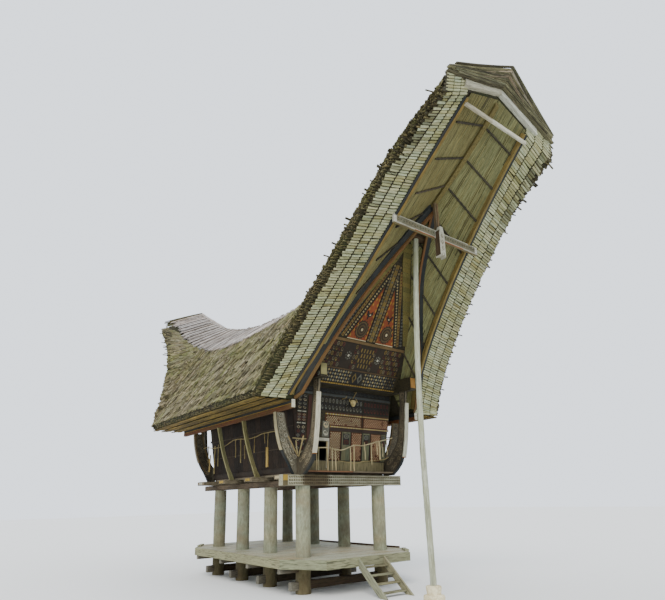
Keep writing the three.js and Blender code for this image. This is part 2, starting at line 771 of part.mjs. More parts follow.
function sidewaysBoard(sign, y) {
  const wallCorner = [wallHalfWidth(BOARD_FOOT) + GAP, BOARD_FOOT];
  const outline = [...smooth(SIDEWAYS_BOARD.outer, 12), ...smooth(SIDEWAYS_BOARD.inner, 10), wallCorner]
    .map(([x, z]) => [sign * x, z]);
  return slabAcrossY(outline, y - CORNER_BOARD_THICKNESS / 2, y + CORNER_BOARD_THICKNESS / 2);
}

ENDS.forEach(([endName, end]) => {
  const sidewaysY = end.sign < 0 ? FRONT_SIDE_BOARD_Y : BACK_SIDE_BOARD_Y;
  SIDES.forEach(([side, sign]) => {
    const boards = join(forwardBoard(sign, end.sign), sidewaysBoard(sign, sidewaysY));
    addPiece(`corner_boards_${endName}_${side}`, boards, MATERIALS.beam);
  });
});

// Eave beams with the curved braces that stand on the joists and carry them.
function braceGeometry(sign, y) {
  const outline = [...smooth(BRACE.outer, 8), ...smooth(BRACE.inner, 8)].map(([x, z]) => [sign * x, z]);
  return slabAcrossY(outline, y - BRACE.thickness / 2, y + BRACE.thickness / 2);
}

SIDES.forEach(([side, sign]) => {
  const xs = [sign * EAVE_BEAM.inner, sign * EAVE_BEAM.outer].sort((a, b) => a - b);
  const beam = boxBetween(
    [xs[0], EAVE_BEAM.frontY, EAVE_BEAM.bottom],
    [xs[1], EAVE_BEAM.backY, EAVE_BEAM.top],
  );
  const braced = join(beam, ...BRACE.rows.map((y) => braceGeometry(sign, y)));
  addPiece(`eave_beam_${side}`, cut(braced, roofCutter), MATERIALS.dark);
});

// Prow rafters: two legs that follow the underside of the roof from the eave beams to the ridge,
// with a short collar between them. Their path is given as (half width, distance along).
const prowRafterPath = new THREE.SplineCurve(PROW_RAFTER_PATH.map(([x, along]) => new THREE.Vector2(x, along)));

function prowRafterLeg(end, sign) {
  const stations = prowRafterPath.getPoints(15).map((point) => [point.x, point.y]);
  const [, apexAlong] = stations[0];
  const depth = end.sign < 0 ? PROW_RAFTER.frontDepth : PROW_RAFTER.backDepth;
  return loft([[-PROW_RAFTER.apexOverlap, apexAlong], ...stations].map(([width, along]) => {
    const under = undersideZ(end, Math.max(width, 0), along);
    const bottom = Math.max(under - depth, EAVE_BEAM.top + GAP);
    const near = yAt(end, along - PROW_RAFTER.thickness / 2);
    const far = yAt(end, along + PROW_RAFTER.thickness / 2);
    const x = sign * width;
    const top = under + PROW_RAFTER.blankRise;
    return [[x, near, bottom], [x, far, bottom], [x, far, top], [x, near, top]];
  }));
}

function collarGeometry(end) {
  const ys = [COLLAR.front, COLLAR.back].map((y) => (end.sign < 0 ? y : BACK_ROW_Y - y)).sort((a, b) => a - b);
  return boxBetween(
    [-COLLAR.halfLength, ys[0], POLE.topZ + GAP],
    [COLLAR.halfLength, ys[1], POLE.topZ + COLLAR.thickness],
  );
}

ENDS.forEach(([endName, end]) => {
  const legs = join(prowRafterLeg(end, 1), prowRafterLeg(end, -1), collarGeometry(end));
  addPiece(`prow_rafters_${endName}`, underRoof(legs), MATERIALS.dark);
});

// Tie beams under the prow, and the pendant in front of the lower one.
function tieGeometry(tie) {
  const beam = boxBetween([-tie.halfLength, tie.front, tie.bottom], [tie.halfLength, tie.back, tie.top]);
  return underRoof(beam);
}

addPiece('prow_tie_lower', tieGeometry(LOWER_TIE), MATERIALS.pale);
addPiece('prow_tie_upper', tieGeometry(UPPER_TIE), MATERIALS.pale);
addPiece('prow_pendant', underRoof(boxBetween(
  [-PENDANT.halfWidth, LOWER_TIE.front - GAP - PENDANT.depth, PENDANT.bottom],
  [PENDANT.halfWidth, LOWER_TIE.front - GAP, PENDANT.top],
)), MATERIALS.pale);

// Board on the end of the roofing, trimmed to the underside of the cap.
function prowBoardGeometry() {
  const { halfWidth, apexZ, endZ, height, thickness } = PROW_BOARD;
  const face = yAt(FRONT_END, FRONT_END.eaveLength + FRONT_END.reach) - GAP;
  const board = slabAcrossY([
    [0, apexZ],
    [halfWidth, endZ],
    [halfWidth, endZ + height],
    [0, apexZ + height],
    [-halfWidth, endZ + height],
    [-halfWidth, endZ],
  ], face - thickness, face);
  return cut(board, cap.clone().translate(0, 0, -1.5 * GAP));
}

addPiece('prow_board', prowBoardGeometry(), MATERIALS.pale);

const outerBox = new THREE.Box3().setFromObject(barn);
const centre = outerBox.getCenter(new THREE.Vector3());
barn.position.set(-centre.x, -centre.y, 0);

export default barn;
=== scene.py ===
import math
import random

import bmesh
import bpy
from mathutils import Matrix, Vector


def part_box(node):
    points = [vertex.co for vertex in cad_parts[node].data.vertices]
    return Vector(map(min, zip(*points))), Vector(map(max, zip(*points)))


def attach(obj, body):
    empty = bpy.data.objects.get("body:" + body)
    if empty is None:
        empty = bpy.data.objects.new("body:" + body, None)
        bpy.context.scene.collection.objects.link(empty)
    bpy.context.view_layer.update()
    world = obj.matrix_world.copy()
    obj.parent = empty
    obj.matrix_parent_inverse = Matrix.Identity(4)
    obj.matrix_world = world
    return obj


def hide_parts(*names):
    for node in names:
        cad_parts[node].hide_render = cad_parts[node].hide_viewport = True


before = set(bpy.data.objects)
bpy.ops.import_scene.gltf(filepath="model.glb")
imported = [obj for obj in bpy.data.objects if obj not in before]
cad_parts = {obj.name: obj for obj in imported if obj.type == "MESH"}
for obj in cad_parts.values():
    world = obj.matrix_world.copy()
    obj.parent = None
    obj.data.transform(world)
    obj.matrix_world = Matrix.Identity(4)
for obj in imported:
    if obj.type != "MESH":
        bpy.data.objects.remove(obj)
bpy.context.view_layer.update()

# All places below are in metres in the barn's own frame: x to the right, z up, y = 0 at the front row of
# posts and the front towards -y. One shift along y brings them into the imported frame.
post_low, post_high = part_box("post_front_left")
FRONT_ROW_Y = (post_low.y + post_high.y) / 2
POST_X = -(post_low.x + post_high.x) / 2
POST_RADIUS = (post_high.x - post_low.x) / 2
POST_HEIGHT = post_high.z
ROW_SPACING = 1.577
ROW_COUNT = 4
BACK_ROW_Y = (ROW_COUNT - 1) * ROW_SPACING
MIDDLE_Y = BACK_ROW_Y / 2

SIDES = (("left", -1), ("right", 1))
ALONG_X = Vector((1, 0, 0))
ALONG_Y = Vector((0, 1, 0))
UP = Vector((0, 0, 1))
FRAME_SHIFT = Vector((0, FRONT_ROW_Y, 0))
WHITE = (1.0, 1.0, 1.0)


def rgb(code):
    """Linear colour of a six-digit sRGB code."""
    values = [int(code[i:i + 2], 16) / 255 for i in (0, 2, 4)]
    return tuple(v / 12.92 if v <= 0.04045 else ((v + 0.055) / 1.055) ** 2.4 for v in values)


def dimmed(colour, level):
    """The colour times one level."""
    return tuple(value * level for value in colour)


# Materials

SPECULAR = 0.25
FIBRE_SCALE = 4.0
FINE_SCALE = 17.0
CRACK_SCALE = 2.6
CRACK_EDGE = (0.36, 0.42)
STAIN_EDGE = (0.42, 0.66)
RUB_EDGE = (0.5, 0.72)
RUB_AMOUNT = 0.35


class Nodes:
    """Shader nodes of one material, with short calls for the ones used here."""

    def __init__(self, name):
        self.material = bpy.data.materials.new(name)
        self.material.use_nodes = True
        self.tree = self.material.node_tree
        self.shader = self.tree.nodes["Principled BSDF"]

    def new(self, kind, **settings):
        node = self.tree.nodes.new(kind)
        for key, value in settings.items():
            setattr(node, key, value)
        return node

    def feed(self, value, socket):
        """Gives a socket a number, a colour or the output of another node."""
        if isinstance(value, (int, float)):
            socket.default_value = value
        elif isinstance(value, tuple):
            socket.default_value = (*value, 1.0)
        else:
            self.tree.links.new(value, socket)

    def place(self):
        return self.new("ShaderNodeTexCoord").outputs["Object"]

    def stored(self, name, output):
        """A value that the mesh keeps at its corners."""
        return self.new("ShaderNodeAttribute", attribute_name=name).outputs[output]

    def stretched(self, vector, stretch):
        node = self.new("ShaderNodeMapping")
        node.inputs["Scale"].default_value = stretch
        self.feed(vector, node.inputs["Vector"])
        return node.outputs["Vector"]

    def noise(self, vector, scale, detail=5.0, roughness=0.6, distortion=0.0):
        node = self.new("ShaderNodeTexNoise")
        self.feed(vector, node.inputs["Vector"])
        values = {"Scale": scale, "Detail": detail, "Roughness": roughness, "Distortion": distortion}
        for key, number in values.items():
            node.inputs[key].default_value = number
        return node.outputs["Fac"]

    def ramp(self, value, stops):
        node = self.new("ShaderNodeValToRGB")
        for element, (place, colour) in zip(node.color_ramp.elements, stops):
            element.position = place
            element.color = (*colour, 1.0)
        self.feed(value, node.inputs["Fac"])
        return node.outputs["Color"]

    def range(self, value, low, high, to_low=0.0, to_high=1.0):
        node = self.new("ShaderNodeMapRange")
        for key, number in (("From Min", low), ("From Max", high), ("To Min", to_low), ("To Max", to_high)):
            node.inputs[key].default_value = number
        self.feed(value, node.inputs["Value"])
        return node.outputs["Result"]

    def mix(self, factor, first, second, blend="MIX"):
        node = self.new("ShaderNodeMix", data_type="RGBA", blend_type=blend)
        for value, index in ((factor, 0), (first, 6), (second, 7)):
            self.feed(value, node.inputs[index])
        return node.outputs[2]

    def math(self, kind, first, second):
        node = self.new("ShaderNodeMath", operation=kind)
        self.feed(first, node.inputs[0])
        self.feed(second, node.inputs[1])
        return node.outputs[0]

    def finish(self, colour, wear, rough, specular=SPECULAR):
        """Sets the colour, a roughness that follows the wear, and the shine."""
        self.feed(colour, self.shader.inputs["Base Color"])
        self.feed(self.range(wear, 0.3, 0.7, *rough), self.shader.inputs["Roughness"])
        self.shader.inputs["Specular IOR Level"].default_value = specular

    def bump(self, height, strength, distance):
        node = self.new("ShaderNodeBump")
        node.inputs["Strength"].default_value = strength
        node.inputs["Distance"].default_value = distance
        self.feed(height, node.inputs["Height"])
        self.feed(node.outputs["Normal"], self.shader.inputs["Normal"])


def timber(name, dark, light, stain=None, stain_amount=0.5, stain_scale=0.7, source="grain",
           stretch=(1.2, 16.0, 16.0), rough=(0.95, 0.72), bump=0.5, depth=0.006, cracks=0.45):
    """Wood or bamboo: fibres along the grain, dark cracks, and stains that cross piece borders."""
    n = Nodes(name)
    place = n.place()
    along = n.stretched(n.stored("grain", "Vector") if source == "grain" else place, stretch)
    fibre = n.noise(along, FIBRE_SCALE, detail=7.0, roughness=0.65, distortion=0.25)
    fine = n.noise(along, FINE_SCALE, detail=4.0)
    crack = n.range(n.noise(along, CRACK_SCALE, detail=2.0, roughness=0.4), *CRACK_EDGE)
    colour = n.ramp(fibre, ((0.3, rgb(dark)), (0.7, rgb(light))))
    colour = n.mix(0.35, colour, n.ramp(fine, ((0.3, (0.45, 0.43, 0.4)), (0.7, WHITE))), "MULTIPLY")
    open_crack = n.math("MULTIPLY", n.math("SUBTRACT", 1.0, crack), cracks)
    colour = n.mix(open_crack, colour, dimmed(rgb(dark), 0.25))
    if stain is not None:
        blotch = n.noise(place, stain_scale, detail=6.0, roughness=0.62)
        colour = n.mix(n.math("MULTIPLY", n.range(blotch, *STAIN_EDGE), stain_amount), colour, rgb(stain))
    if source == "grain":
        colour = n.mix(1.0, colour, n.stored("tint", "Color"), "MULTIPLY")
    n.finish(colour, fine, rough)
    n.bump(n.math("ADD", n.math("MULTIPLY", crack, 0.6), n.math("MULTIPLY", fibre, 0.8)), bump, depth)
    return n.material


def paint(name):
    """Old limewash and earth paint on carved wood: the colour comes from each chip's own tint."""
    n = Nodes(name)
    place = n.place()
    rub = n.noise(place, 30.0, detail=6.0, roughness=0.7)
    bare = n.math("MULTIPLY", n.range(rub, *RUB_EDGE), RUB_AMOUNT)
    colour = n.mix(bare, n.stored("tint", "Color"), rgb("4a3c2e"))
    soot = n.ramp(n.noise(place, 2.2, detail=5.0), ((0.3, (0.55, 0.53, 0.5)), (0.65, WHITE)))
    n.finish(n.mix(1.0, colour, soot, "MULTIPLY"), rub, (0.7, 0.92))
    n.bump(rub, 0.35, 0.003)
    return n.material


def stone(name, dark, light):
    """Rough grey-yellow stone with damp patches."""
    n = Nodes(name)
    place = n.place()
    grain = n.noise(place, 22.0, detail=8.0, roughness=0.7)
    colour = n.ramp(grain, ((0.3, rgb(dark)), (0.6, rgb(light))))
    damp = n.ramp(n.noise(place, 3.0, detail=4.0), ((0.35, (0.72, 0.68, 0.6)), (0.6, WHITE)))
    n.finish(n.mix(1.0, colour, damp, "MULTIPLY"), grain, (0.95, 0.8), specular=0.2)
    n.bump(grain, 0.6, 0.004)
    return n.material


MATERIALS = {
    "bamboo": timber("split_bamboo", "7e7e5a", "c0c2a0", "75723e", 0.4, 1.1, cracks=0.4),
    "rot": timber("rotten_ends", "1f1b12", "6a644c", "2e2c1c", 0.5, 2.0, cracks=0.5),
    "matting": timber("bamboo_matting", "4c4930", "88835a", "5c522c", 0.5, 0.9, cracks=0.35, bump=0.35),
    "thatch": timber("rotten_bamboo", "3f3a2a", "989077", "5b622f", 0.5, 1.3, cracks=0.6, bump=0.7,
                     depth=0.01),
    "thatch_core": timber("roof_core", "1c1910", "3d3622", "30381a", 0.6, source="object", bump=0.8,
                          depth=0.02),
    "eave_laths": timber("eave_laths", "3d3212", "8c7433", "2e2712", 0.6, cracks=0.5),
    "cap": timber("cap_planks", "958d88", "dfd8d1", "988a7c", 0.4, 0.8, cracks=0.7, bump=0.7),
    "cap_end": timber("cap_end_laths", "46442f", "98947a", "3c3a2e", 0.5, 1.6, cracks=0.6, bump=0.7),
    "cap_core": timber("cap_core", "2b2622", "55493f", source="object"),
    "edge_ochre": timber("edge_boards", "564824", "8a753c", "4e4226", cracks=0.35),
    "dark_pole": timber("dark_poles", "1c1913", "4a4230", cracks=0.3),
    "black": timber("black_boards", "121514", "2a2f2e", "46423a", 0.35, cracks=0.4),
    "orange": timber("orange_boards", "4e3420", "885a32", "5a4c2c", 0.8, cracks=0.35),
    "ochre": timber("ochre_boards", "755a1c", "b8923a", "5c4a22", cracks=0.35),
    "pole": timber("pole_wood", "80826a", "bcbeac", "85855c", 0.5, 1.2, stretch=(0.8, 9.0, 9.0), cracks=0.35),
    "post": timber("post_wood", "6e6f57", "98997f", "716751", 0.7, 2.6, stretch=(1.6, 4.0, 4.0), cracks=0.15,
                   bump=0.35),
    "floor": timber("floor_planks", "7d7a63", "b4b299", "7d6d4a", 0.6, 0.8, rough=(0.8, 0.5), cracks=0.4),
    "grey": timber("weathered_boards", "66664e", "9c9b7e", "6e6a56", 0.6, 1.2, cracks=0.8, bump=0.8),
    "pale": timber("pale_carved_wood", "8c8978", "c8c6b6", "8a8172", 0.5, 2.0, cracks=0.5),
    "beam": timber("dark_beams", "33291e", "6b5a43", "241e17", 0.6, cracks=0.5),
    "brown": timber("brown_planks", "241b13", "4f3d2a", "171310", 0.6, cracks=0.5),
    "stick": timber("bamboo_sticks", "6f6240", "b5a882", "666048", 0.5, 3.0, cracks=0.4),
    "crescent": timber("carved_boards", "55503f", "969180", "3a362b", 0.6, 2.4, cracks=0.5),
    "object_ridge": timber("ridge_poles", "4a4224", "766a3a", "4a4022", source="object",
                           stretch=(12.0, 1.5, 12.0)),
    "object_beam": timber("carried_beams", "4c4433", "8b8068", "2e281e", 0.6, source="object",
                          stretch=(2.0, 12.0, 12.0)),
    "object_wall": timber("wall_boards", "221a13", "46372a", "15110e", 0.6, source="object",
                          stretch=(9.0, 1.2, 9.0)),
    "object_panel": timber("panel_ground", "1b180f", "3e3720", "15110f", source="object",
                           stretch=(1.5, 9.0, 9.0)),
    "paint": paint("old_paint"),
    "footing": stone("footing_stone", "b5a57c", "e2d8b6"),
}


# Mesh making

def around(count):
    """Equal angles round a circle."""
    return [2 * math.pi * index / count for index in range(count)]


def spread(start, end, count):
    """The middles of equal steps between two places."""
    return [start + (end - start) * (index + 0.5) / count for index in range(count)]


def changing(value, start, end, first, last):
    """A number that goes from first to last while the value goes from start to end."""
    share = min(max((value - start) / (end - start), 0.0), 1.0)
    return first + (last - first) * share


def across_and_above(start, end, up):
    """Unit vectors at right angles to a line: one to its side, and one out of its upper face."""
    axis = (end - start).normalized()
    side = axis.cross(up).normalized()
    return side, side.cross(axis).normalized()


def upward(vector):
    return -vector if vector.z < 0 else vector


def downward(vector):
    return -vector if vector.z > 0 else vector


def ring_at(z, *places):
    """Corners at one height."""
    return [Vector((x, y, z)) for x, y in places]


def level_slice(z, near_x, far_x, low_y, high_y):
    """The four corners of an upright board's cross-section at one height."""
    return ring_at(z, (near_x, low_y), (near_x, high_y), (far_x, high_y), (far_x, low_y))


def slice_at(x, front, back, low, high):
    """The four corners of a beam's cross-section at a place along x."""
    return [Vector((x, y, z)) for y, z in ((front, low), (back, low), (back, high), (front, high))]


class Heap:
    """Small solids gathered into one piece. Each corner keeps a tint and its place along its own grain.

    The look of a solid is the number of its material in the piece's list.
    """

    def __init__(self, seed):
        self.random = random.Random(seed)
        self.points = []
        self.faces = []
        self.tints = []
        self.grains = []
        self.looks = []

    def tone(self, most, colour=WHITE):
        """The colour made lighter or darker by chance, with a slight change of hue."""
        level = 1.0 + self.random.uniform(-most, most)
        warmth = self.random.uniform(-0.06, 0.06)
        return (colour[0] * level * (1 + warmth), colour[1] * level, colour[2] * level * (1 - warmth))

    def loft(self, rings, tint=WHITE, look=0):
        """A closed solid through rings of points, which all have the same number of points."""
        size = len(rings[0])
        start = len(self.points)
        tints = tint if isinstance(tint, list) else [tint] * len(rings)
        shift = Vector([self.random.uniform(0, 50) for _ in range(3)])
        along = 0.0
        centres = [sum(ring, Vector()) / size for ring in rings]
        for index, ring in enumerate(rings):
            centre = centres[index]
            if index:
                along += (centre - centres[index - 1]).length
            ahead = centres[min(index + 1, len(rings) - 1)] - centres[max(index - 1, 0)]
            side = (ring[0] - centre).normalized()
            rise = ahead.normalized().cross(side)
            for point in ring:
                offset = point - centre
                self.points.append(point)
                self.tints.append(tints[index])
                self.grains.append(shift + Vector((along, offset.dot(side), offset.dot(rise))))
        for index in range(len(rings) - 1):
            base = start + index * size
            for i in range(size):
                j = (i + 1) % size
                self.faces.append((base + i, base + j, base + size + j, base + size + i))
                self.looks.append(look)
        last = start + (len(rings) - 1) * size
        self.faces.append(tuple(range(start + size - 1, start - 1, -1)))
        self.faces.append(tuple(range(last, last + size)))
        self.looks += [look, look]

    def plank(self, start, end, width, thickness, up=UP, tint=WHITE, look=0, bow=0.0, parts=1,
              end_width=None):
        """A board between two points, centred on their line. Up is the way that its flat side faces."""
        start, end = Vector(start), Vector(end)
        side, top = across_and_above(start, end, up)
        last_width = width if end_width is None else end_width
        rings = []
        for index in range(parts + 1):
            place = index / parts
            half = (width + (last_width - width) * place) / 2
            centre = start.lerp(end, place) + top * (4 * bow * place * (1 - place))
            low = centre - top * (thickness / 2)
            high = centre + top * (thickness / 2)
            rings.append([low - side * half, low + side * half, high + side * half, high - side * half])
        self.loft(rings, tint, look)

    def bar(self, start, end, width, height, tint=WHITE, look=0, up=UP, chamfer=0.012, parts=6, wobble=0.004):
        """A hewn timber with worn edges. Its height is measured along up."""
        start, end = Vector(start), Vector(end)
        side, top = across_and_above(start, end, up)
        w, h, c = width / 2, height / 2, chamfer
        profile = ((c - w, -h), (w - c, -h), (w, c - h), (w, h - c),
                   (w - c, h), (c - w, h), (-w, h - c), (-w, c - h))
        rings = []
        for index in range(parts + 1):
            centre = start.lerp(end, index / parts)
            ring = []
            for u, v in profile:
                u += self.random.uniform(-wobble, wobble)
                v += self.random.uniform(-wobble, wobble)
                ring.append(centre + side * u + top * v)
            rings.append(ring)
        self.loft(rings, tint, look)

    def cane(self, start, end, width, bulge, up=UP, tint=WHITE, look=0, thickness=0.008):
        """A split bamboo: flat below and arched above, where up points."""
        side, top = across_and_above(start, end, up)
        profile = [(-0.5, 0.0), (0.5, 0.0), (0.5, thickness / 2), (0.28, 0.75 * bulge), (0.0, bulge),
                   (-0.28, 0.75 * bulge), (-0.5, thickness / 2)]
        rings = [[centre + side * (width * u) + top * v for u, v in profile] for centre in (start, end)]
        self.loft(rings, tint, look)

    def rod(self, path, radii, sides=8, tint=WHITE, look=0):
        """A round bar along a path."""
        if isinstance(radii, (int, float)):
            radii = [radii] * len(path)
        side = None
        rings = []
        for index, centre in enumerate(path):
            axis = (path[min(index + 1, len(path) - 1)] - path[max(index - 1, 0)]).normalized()
            if side is None:
                side = axis.orthogonal().normalized()
            side = (side - axis * side.dot(axis)).normalized()
            rise = axis.cross(side)
            spokes = [side * math.cos(turn) + rise * math.sin(turn) for turn in around(sides)]
            rings.append([centre + spoke * radii[index] for spoke in spokes])
        self.loft(rings, tint, look)

    def prism(self, outline, shift, tint=WHITE, look=0):
        """A flat outline pushed by a vector into a solid."""
        self.loft([outline, [point + shift for point in outline]], tint, look)

    def piece(self, name, materials, replaces=(), smooth=None):
        """One object of all the solids, which rides on the barn and may stand for some of its nodes."""
        mesh = bpy.data.meshes.new(name)
        mesh.from_pydata([point + FRAME_SHIFT for point in self.points], [], self.faces)
        for material in materials:
            mesh.materials.append(MATERIALS[material])
        if len(materials) > 1:
            mesh.polygons.foreach_set("material_index", self.looks)
        tint = mesh.attributes.new("tint", "FLOAT_COLOR", "POINT")
        tint.data.foreach_set("color", [value for colour in self.tints for value in (*colour, 1.0)])
        grain = mesh.attributes.new("grain", "FLOAT_VECTOR", "POINT")
        grain.data.foreach_set("vector", [value for vector in self.grains for value in vector])
        obj = bpy.data.objects.new(name, mesh)
        bpy.context.scene.collection.objects.link(obj)
        face_outwards(mesh)
        if smooth is not None:
            mesh.shade_smooth()
            mesh.set_sharp_from_angle(angle=math.radians(smooth))
        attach(obj, "root")
        if replaces:
            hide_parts(*replaces)


def face_outwards(mesh):
    """Turns the faces of every closed shell outwards."""
    work = bmesh.new()
    work.from_mesh(mesh)
    bmesh.ops.recalc_face_normals(work, faces=work.faces)
    work.to_mesh(mesh)
    work.free()


def mirrored(point, sign):
    return Vector((point.x * sign, point.y, point.z))


def smooth_curve(points, count):
    """Places along a smooth curve through all the given points."""
    padded = [points[0], *points, points[-1]]
    spans = len(points) - 1
    result = []
    for index in range(count + 1):
        place = index / count * spans
        span = min(int(place), spans - 1)
        t = place - span
        result.append(tuple(0.5 * (2 * b + (c - a) * t + (2 * a - 5 * b + 4 * c - d) * t ** 2
                                   + (3 * b - a - 3 * c + d) * t ** 3)
                            for a, b, c, d in zip(*padded[span:span + 4])))
    return result


class Face:
    """A leaning wall plane seen from outside: u runs to the right and z is the true height."""

    def __init__(self, origin, right, rise):
        self.origin = origin
        self.right = right
        self.rise = rise
        self.normal = right.cross(rise).normalized()

    def point(self, u, z, depth=0.0):
        return self.origin + self.right * u + self.rise * (z - self.origin.z) + self.normal * depth

    def chip(self, heap, outline, depth, thickness, tint, look=0):
        """A flat chip of wood with the given outline, lying on the wall."""
        heap.prism([self.point(u, z, depth) for u, z in outline], self.normal * thickness, tint, look)

    def plate(self, heap, left, right, low, high, depth, thickness, tint, look=0):
        corners = [(left, low), (right, low), (right, high), (left, high)]
        self.chip(heap, corners, depth, thickness, tint, look)

    def oval(self, heap, u, z, half_u, half_z, depth, thickness, tint, sides=12, look=0):
        outline = [(u + half_u * math.cos(turn), z + half_z * math.sin(turn)) for turn in around(sides)]
        self.chip(heap, outline, depth, thickness, tint, look)


# Roof form, the same as in the part's solids. Distances along it start at the middle of the post grid.

EAVE_Z = 4.57
PROW_HEIGHT = 5.81
RIDGE_MIDDLE_Z = 8.3
CAP_THICKNESS = 0.08
COURSE_COUNT = 6
COURSE_RISE = 0.02
SLOPE_SWELL = 0.004
SLOPE_EDGE = 0.95
TIP_START = 0.757
TIP_NARROWING = 0.08
TIP_DROP = 0.45
LIP_HEIGHT = 0.12
LIP_REACH = 0.02
LEAN_LENGTH = 1.8


def opening_half(climb):
    """Half width of the gable opening, from the eave at 0 to the height of the front prow at 1."""
    return 2.11 - 1.85 * climb + 0.77 * climb ** 2


class End:
    """One end of the roof."""

    def __init__(self, sign, eave_length, reach, rise, power, lean, cap_lean, knee_lean):
        self.sign = sign
        self.eave_length = eave_length
        self.reach = reach
        self.rise = rise
        self.power = power
        self.lean = lean
        self.cap_lean = cap_lean
        self.knee_lean = knee_lean
        self.length = eave_length + reach
        self.stations = self.measured_stations()
        self.travel_end = self.stations[-1][0]

    def measured_stations(self, count=240):
        """Pairs of the way travelled along the gable edge and the part of its rise."""
        travel = self.eave_length
        stations = [(travel, 0.0)]
        before = (self.eave_length, 0.0)
        for index in range(1, count + 1):
            part = index / count
            now = (self.eave_length + self.reach * part ** self.power, self.rise * part)
            travel += math.dist(before, now)
            stations.append((travel, part))
            before = now
        return stations

    def part_at(self, travel):
        before = self.stations[0]
        for station in self.stations:
            if station[0] >= travel:
                span = station[0] - before[0]
                share = (travel - before[0]) / span if span else 0.0
                return before[1] + (station[1] - before[1]) * share
            before = station
        return 1.0

    def y(self, along):
        return MIDDLE_Y + self.sign * along

    def section(self, travel):
        """The corners of the roof's right half after a way along the eave and the gable edge."""
        part = self.part_at(travel) if travel > self.eave_length else 0.0
        along = min(travel, self.eave_length) + self.reach * part ** self.power
        climb = self.rise * part / PROW_HEIGHT
        inner = opening_half(climb)
        tip = max(climb - TIP_START, 0.0) / (1 - TIP_START)
        outer = inner + SLOPE_EDGE - TIP_NARROWING * tip
        z = EAVE_Z + PROW_HEIGHT * climb
        lip_z = z - TIP_DROP * tip ** 1.5
        past = max(along - (self.length - LEAN_LENGTH), 0.0) / LEAN_LENGTH
        lean = self.lean * past ** 2
        y = self.y(along)
        return {
            "ridge": self.ridge_point(along + lean),
            "knee": self.knee_point(along + 0.7 * lean),
            "lip": Vector((outer + LIP_REACH, y, lip_z + LIP_HEIGHT)),
            "outer": Vector((outer, y, lip_z)),
            "inner": Vector((inner, y, z)),
            "under": Vector((0, self.y(along + lean), ridge_z(along + lean) - ridge_depth(along + lean))),
        }

    def ridge_point(self, along):
        return Vector((0, self.y(along), ridge_z(along) - CAP_THICKNESS))

    def knee_point(self, along):
        half = changing(along, 6.5, 8.3, 1.42, 1.85)
        z = ridge_z(along) - changing(along, 3.5, 8.3, 0.73, 0.3) * half - CAP_THICKNESS
        return Vector((half, self.y(along), z))

    def tangent(self, travel, key):
        step = 0.03
        ahead = self.section(min(travel + step, self.travel_end))[key]
        behind = self.section(travel - step)[key]
        return (ahead - behind).normalized()


def ridge_z(along):
    return RIDGE_MIDDLE_Z + 0.0124 * max(along, 0.0) ** 2.53


def ridge_depth(along):
    return changing(along, 5.5, 8.3, 0.42, 0.195)


FRONT = End(-1, 3.15, 5.15, 5.81, 1.215, 0.0, 0.4, 0.06)
BACK = End(1, 3.9, 2.6, 4.28, 2.2, 1.0, 1.18, 0.85)
ENDS = (("front", FRONT), ("back", BACK))


def steps(start, end, spacing):
    return spread(start, end, max(int(round((end - start) / spacing)), 1))


# The wide bands of split bamboo on both sides of each gable opening

BANDS = ((-0.03, 0.295), (0.33, 0.625), (0.66, 0.97))
OUTER_BAND = 2
# Shares across the bands where thin dark poles lie in the gaps, as painted shadow of the steps between bands.
BAND_SHADOW_LINES = (0.3125, 0.6425)
CANE_PITCH = 0.068
CANE_BULGE = 0.026
CANE_SKEW = 0.19
FRINGE_DEPTH = 0.05
DECAY_LENGTH = 1.9
EDGE_LAYERS = 6
EDGE_LAYER_HEIGHT = 0.036
TIP_ROWS = {"front": 6, "back": 0}
TIP_STEP = Vector((0.0, -0.015, 0.064))
OUTER_LIMIT = 3.13
LEFT_NARROWING = (0.27, 0.19)


def bamboo_edge(end, sign, travel):
    """Inner edge of the bamboo bands, which starts further out on the left of the front end."""
    section = end.section(travel)
    inner = mirrored(section["inner"], sign)
    if end is BACK or sign > 0:
        return inner
    share = changing(travel, end.eave_length, end.eave_length + 1.2, *LEFT_NARROWING)
    return inner.lerp(mirrored(section["outer"], sign), share)


def band_canes(heap, end, travel, inner, way, down):
    """One cane in each band. Those of the outer band are worn, and broken off near the tip."""
    draw = heap.random.uniform
    tangent = end.tangent(travel, "inner")
    decay = changing(travel, end.travel_end - DECAY_LENGTH, end.travel_end, 0.0, 0.85)
    worn = changing(travel, end.travel_end - 3.6, end.travel_end - 1.2, 1.0, 0.5)
    for index, (start, stop) in enumerate(BANDS):
        stop += draw(-0.04, 0.03) if index == OUTER_BAND else draw(-0.004, 0.004)
        if index == OUTER_BAND and draw(0, 1) < decay:
            stop -= draw(0.03, 0.16)
        depth = FRINGE_DEPTH - 0.008 * index + draw(-0.006, 0.006)
        first = inner + way * start + down * depth
        last = inner + way * stop + down * (depth + draw(-0.004, 0.008))
        last += tangent * draw(-0.012, 0.012)
        chance = draw(0, 1)
        colour = (0.62, 0.56, 0.4) if chance < 0.05 else (0.86, 0.84, 0.72) if chance < 0.35 else WHITE
        if index == OUTER_BAND and draw(0, 1) < 0.6:
            colour = dimmed(colour, worn)
        heap.cane(first, last, CANE_PITCH * draw(0.78, 0.92), CANE_BULGE, down, heap.tone(0.13, colour))


